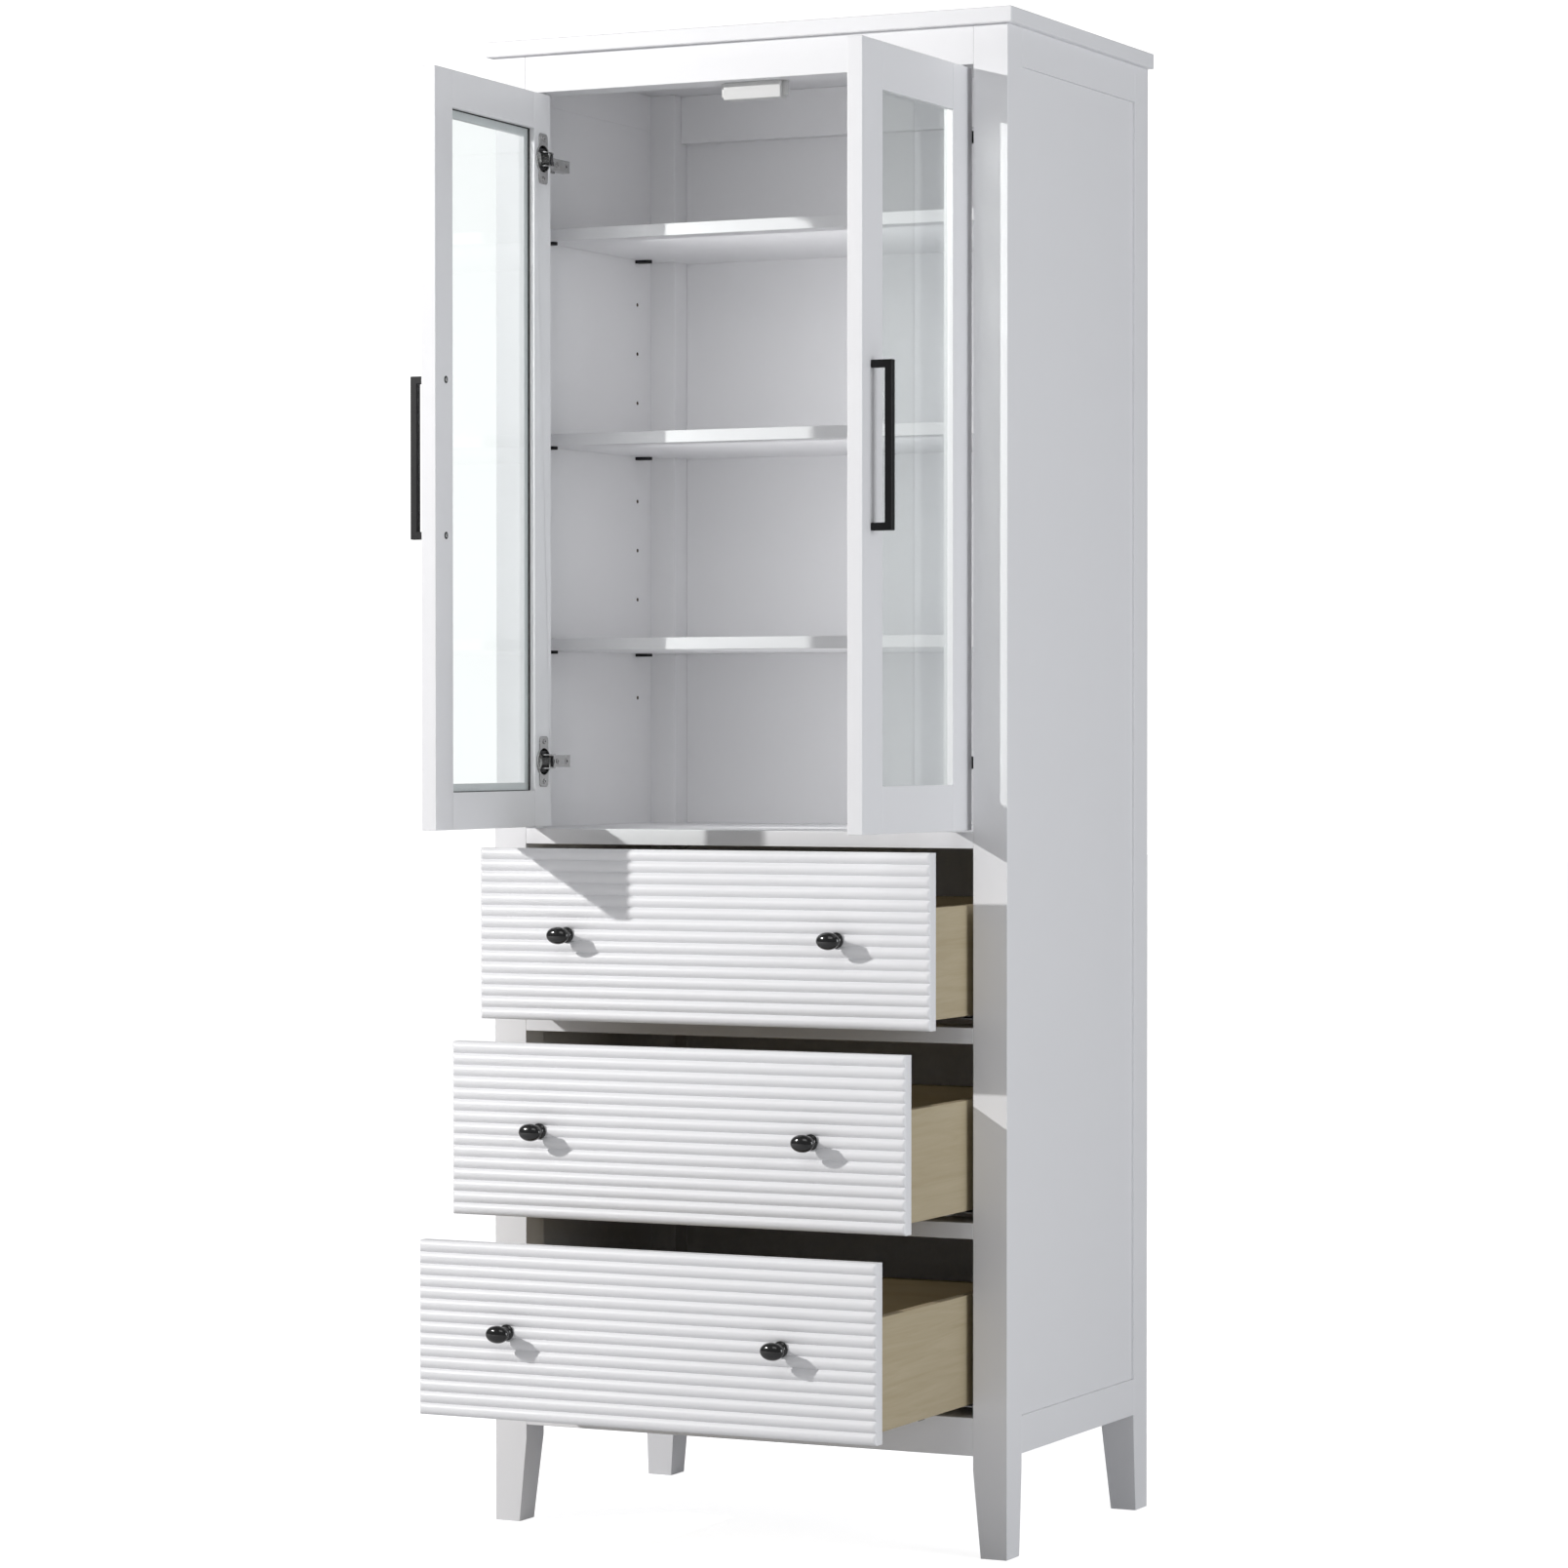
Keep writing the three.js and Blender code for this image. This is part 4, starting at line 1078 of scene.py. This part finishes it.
def widened(x, out):
    swell = min(1, max(0, (out - 7) / 9))
    return x * (1 + (OVAL - 1) * swell * swell * (3 - 2 * swell))


for number in drawer_numbers:
    for side_name in SIDES:
        node = f"drawer_{number}_knob_{side_name}"
        low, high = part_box(node)
        middle = (low + high) / 2 / MM
        seat = high.y / MM
        knob = turned(bmesh.new(), KNOB_OUTLINE, 48,
                      lambda x, y, out: (middle.x + widened(x, out), seat - out, middle.z + y))
        piece = new_piece(f"{node}_turned", scaled(knob, MM), [gloss_black], soft_angle=50)
        hand_over(piece, f"drawer_{number}", [node])
print("knobs:", 2 * len(drawer_numbers))

# %% [markdown]
# ## Plywood drawer boxes
#
# A box is five boards: two sides that run its whole length, a front and a back between them,
# and a thin bottom let in from below. Each board is its own small block with rounded edges, so
# the joints show, and the top edges of the boards show their plies.

# %% Drawer boxes
BOX_WALL, BOX_FLOOR, FLOOR_LIFT = 12, 6, 12


def ply_board(shape, low, high, face_finish, edge_finish, thin_axis):
    before = set(shape.verts)
    box_in(shape, low, high)
    edges = {e for v in shape.verts if v not in before for e in v.link_edges}
    bmesh.ops.bevel(shape, geom=list(edges), offset=0.8, segments=2, affect="EDGES", profile=0.5)
    shape.normal_update()
    for face in shape.faces:
        if all(v not in before for v in face.verts):
            cut_face = abs(face.normal[thin_axis]) < 0.5 and max(abs(c) for c in face.normal) > 0.9
            face.material_index = edge_finish if cut_face else face_finish


for number in drawer_numbers:
    node = f"drawer_{number}_box"
    low, high = (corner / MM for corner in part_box(node))
    box = bmesh.new()
    inner = (low.x + BOX_WALL, high.x - BOX_WALL)
    ply_board(box, (low.x, low.y, low.z), (inner[0], high.y, high.z), 1, 3, 0)
    ply_board(box, (inner[1], low.y, low.z), (high.x, high.y, high.z), 1, 3, 0)
    ply_board(box, (inner[0], low.y + 0.02, low.z), (inner[1], low.y + BOX_WALL, high.z), 0, 2, 1)
    ply_board(box, (inner[0], high.y - BOX_WALL, low.z + FLOOR_LIFT), (inner[1], high.y, high.z), 0, 2, 1)
    ply_board(box, (inner[0], low.y + BOX_WALL, low.z + FLOOR_LIFT),
              (inner[1], high.y - BOX_WALL, low.z + FLOOR_LIFT + BOX_FLOOR), 0, 2, 2)
    finishes = [birch_across, birch_along, plies_across, plies_along]
    piece = new_piece(f"{node}_boards", scaled(box, MM), finishes)
    hand_over(piece, f"drawer_{number}", [node])
print("drawer boxes:", len(drawer_numbers))

# %% [markdown]
# ## Runners
#
# Each drawer runs on two folded steel runners that hide under its box. Seen from the end a
# runner is one long fold: a web against the post, a foot, and a raised rail in the hollow under
# the box. The fold is drawn as a centre line and given the sheet's real thickness.

# %% Runners
SHEET = 1.2
HALF_SHEET = SHEET / 2
RAIL_IN, RAIL_OUT, RAIL_TOP, LIP = 27, 47, 15.4, 51.5


def folded(shape, line, thickness, planes):
    """Extrudes a folded sheet between two planes. line holds (across, height) pairs."""
    rows = []
    for i, (x, z) in enumerate(line):
        ways = []
        for a, b in ((i - 1, i), (i, i + 1)):
            if a >= 0 and b < len(line):
                step = Vector((line[b][0] - line[a][0], line[b][1] - line[a][1])).normalized()
                ways.append(Vector((-step.y, step.x)))
        normal = sum(ways, Vector((0, 0)))
        normal = normal / normal.length_squared * (len(ways) if len(ways) > 1 else 1)
        half = normal * thickness / 2
        rows.append(((x + half.x, z + half.y), (x - half.x, z - half.y)))
    outline = [row[0] for row in rows] + [row[1] for row in reversed(rows)]
    rings = [[shape.verts.new((x, y, z)) for x, z in outline] for y in planes]
    loft(shape, rings)
    count = len(line)
    for ring in rings:
        for i in range(count - 1):
            shape.faces.new((ring[i], ring[i + 1], ring[2 * count - 2 - i], ring[2 * count - 1 - i]))


for number in drawer_numbers:
    for side_name, side in SIDES.items():
        node = f"drawer_{number}_runner_{side_name}"
        low, high = (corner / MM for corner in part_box(node))
        outer = high.x if side > 0 else low.x
        steps_in = ((HALF_SHEET, high.z - low.z), (HALF_SHEET, HALF_SHEET), (RAIL_IN, HALF_SHEET),
                    (RAIL_IN, RAIL_TOP), (RAIL_OUT, RAIL_TOP), (RAIL_OUT, HALF_SHEET), (LIP, HALF_SHEET))
        line = [(outer - side * across, low.z + up) for across, up in steps_in]
        runner = bmesh.new()
        folded(runner, line, SHEET, (low.y, high.y))
        piece = new_piece(f"{node}_fold", scaled(runner, MM), [zinc])
        hand_over(piece, "case", [node])
        web = outer * MM - side * (SHEET + 0.05) * MM
        seats = [((web, front_y + y * MM, (low.z + 13) * MM), (-side, 0, 0)) for y in (40, 412)]
        screws = set_pieces(f"{node}_screws", seats, screw, zinc, 0.8, 1.5, number)
        hand_over(screws, "case")
print("runners:", 2 * len(drawer_numbers))

# %% [markdown]
# Under each side of a box a small spring clip locks the drawer to its runner. It is a folded
# tab of bright steel.

# %% Drawer clips
CLIP_LINE = ((17, 10.5), (17, -0.6), (4, -0.6), (1.5, -1.0))
for number in drawer_numbers:
    low, high = (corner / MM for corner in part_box(f"drawer_{number}_box"))
    clips = bmesh.new()
    for side in SIDES.values():
        edge = high.x if side > 0 else low.x
        line = [(edge - side * across, low.z + up) for across, up in CLIP_LINE]
        folded(clips, line, 0.8, (low.y + 118, low.y + 134))
    piece = new_piece(f"drawer_{number}_clips", scaled(clips, MM), [nickel])
    hand_over(piece, f"drawer_{number}")
print("clips:", 2 * len(drawer_numbers))

# %% [markdown]
# ## Nails in the back
#
# The back panel is a thin board nailed into the rebate of the posts, so small nail heads follow
# its edge about every 90 mm. They are only seen from behind.

# %% Back nails
NAIL_INSET = 7 * MM
NAIL_GAPS_UP, NAIL_GAPS_ACROSS = 19, 7
low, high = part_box("back_panel")
left, right, bottom, top = low.x + NAIL_INSET, high.x - NAIL_INSET, low.z + NAIL_INSET, high.z - NAIL_INSET
spots = []
for k in range(NAIL_GAPS_UP + 1):
    z = bottom + (top - bottom) * k / NAIL_GAPS_UP
    spots += [((x, high.y, z), (0, 1, 0)) for x in (left, right)]
for k in range(1, NAIL_GAPS_ACROSS):
    x = left + (right - left) * k / NAIL_GAPS_ACROSS
    spots += [((x, high.y, z), (0, 1, 0)) for z in (bottom, top)]
nails = set_pieces("back_nails", spots, nail, zinc, spin_limit=3.0, seed=11)
hand_over(nails, "case")
for model_object in (screw, nail, drill):
    bpy.data.objects.remove(model_object)
print("nails:", len(spots))

# %% [markdown]
# ## Floor and light
#
# The cabinet stands on a plain pale floor. The floor gives off a little light of its own, so it
# meets the pale room behind it without a line, and only a soft shadow shows.

# %% Floor
FLOOR_GLOW = 0.84
floor_mesh = bpy.data.meshes.new("floor")
floor_mesh.from_pydata([(-30, -30, 0), (30, -30, 0), (30, 30, 0), (-30, 30, 0)], [], [(0, 1, 2, 3)])
floor = show(bpy.data.objects.new("floor", floor_mesh))
pale_floor = film_finish(
    "pale_floor", ((0.66, 0.66, 0.67, 1), (0.64, 0.64, 0.65, 1), 0.8, 6.0, 60.0, 0.7, 0.85),
    {"Specular IOR Level": 0.1, "Emission Color": (1, 1, 1, 1)}, (0.05, 0.0005),
)
floor_tree = pale_floor.node_tree
floor_ray = add_node(floor_tree, "ShaderNodeLightPath")
floor_seen = add_node(floor_tree, "ShaderNodeMath", {"operation": "MAXIMUM"})
floor_glow = add_node(floor_tree, "ShaderNodeMath", {"operation": "MULTIPLY"})
floor_glow.inputs[1].default_value = FLOOR_GLOW
wire(floor_tree, [
    (floor_ray, "Is Camera Ray", floor_seen, 0),
    (floor_ray, "Is Transmission Ray", floor_seen, 1),
    (floor_seen, "Value", floor_glow, 0),
    (floor_glow, "Value", floor_tree.nodes["Principled BSDF"], "Emission Strength"),
])
floor_mesh.materials.append(pale_floor)

# %% [markdown]
# One strong lamp stands close to the front left, a little above the cabinet, and draws the
# shadows. The pale room and three large softboxes fill them. Flat lamps between the shelves and
# over the drawer boxes stand for the light that the walls of a real room send inside.

# %% Light
ROOM_FILL, ROOM_SEEN = 0.26, 1.25
KEY_WATTS, KEY_PLACE = 600, (-3.0, -3.0, 2.6)
INSIDE_GLOW = 1.3  # watts for each metre of height between two shelves
LAMP_ROW = front_y + 0.125

world = bpy.data.worlds.new("pale_room")
bpy.context.scene.world = world
world.use_nodes = True
room = world.node_tree
fill = room.nodes["Background"]
fill.inputs["Color"].default_value = (0.97, 0.98, 1.0, 1)
fill.inputs["Strength"].default_value = ROOM_FILL
seen = add_node(room, "ShaderNodeBackground", Color=(1, 1, 1, 1), Strength=ROOM_SEEN)
room_ray = add_node(room, "ShaderNodeLightPath")
room_seen = add_node(room, "ShaderNodeMath", {"operation": "MAXIMUM"})
room_mix = add_node(room, "ShaderNodeMixShader")
wire(room, [
    (room_ray, "Is Camera Ray", room_seen, 0),
    (room_ray, "Is Transmission Ray", room_seen, 1),
    (room_seen, "Value", room_mix, "Fac"),
    (fill, "Background", room_mix, 1),
    (seen, "Background", room_mix, 2),
    (room_mix, "Shader", room.nodes["World Output"], "Surface"),
])
bpy.context.scene.view_settings.view_transform = "Standard"

lamp_data = bpy.data.lights.new("key_lamp", "POINT")
lamp_data.energy = KEY_WATTS
lamp_data.shadow_soft_size = 0.045
lamp_data.color = (1.0, 0.99, 0.98)
lamp = show(bpy.data.objects.new("key_lamp", lamp_data))
lamp.location = KEY_PLACE


def softbox(name, place, aim, width, watts, colour=(1, 1, 1), height=None):
    data = bpy.data.lights.new(name, "AREA")
    data.size = width
    if height:
        data.shape = "RECTANGLE"
        data.size_y = height
    data.energy = watts
    data.color = colour
    box = show(bpy.data.objects.new(name, data))
    box.location = place
    box.rotation_euler = (Vector(aim) - Vector(place)).to_track_quat("-Z", "Y").to_euler()
    box.visible_camera = False
    box.visible_transmission = False


softbox("front_softbox", (0.25, -2.4, 2.5), (0, 0, 1.6), 1.2, 8)
softbox("side_softbox", (4.0, -0.7, 1.4), (0.35, 0, 0.7), 2.0, 70, (0.955, 0.975, 1.0))
softbox("rear_softbox", (-0.6, 3.6, 1.7), (0, 0.37, 0.9), 2.0, 16)
shelves = [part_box(f"shelf_{number}") for number in (3, 2, 1)]
bottoms = [deck_top] + [high.z for _, high in shelves]
tops = [low.z for low, _ in shelves] + [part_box("front_top_rail")[0].z]
for number, (low_z, high_z) in enumerate(zip(bottoms, tops)):
    middle_z = (low_z + high_z) / 2
    gap = high_z - low_z
    place, aim = (0, LAMP_ROW, middle_z), (0, 1, middle_z)
    softbox(f"inside_lamp_{number}", place, aim, 0.42, INSIDE_GLOW * gap, height=gap * 0.92)
for number in drawer_numbers:
    low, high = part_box(f"drawer_{number}_box")
    reach = front_y - low.y
    middle_y = front_y - reach / 2
    place, aim = (0, middle_y, high.z + 12 * MM), (0, middle_y, 0)
    softbox(f"drawer_lamp_{number}", place, aim, 0.4, reach * 0.5, height=reach * 0.5)
print("lamp energy:", lamp_data.energy, "fill:", fill.inputs["Strength"].default_value)
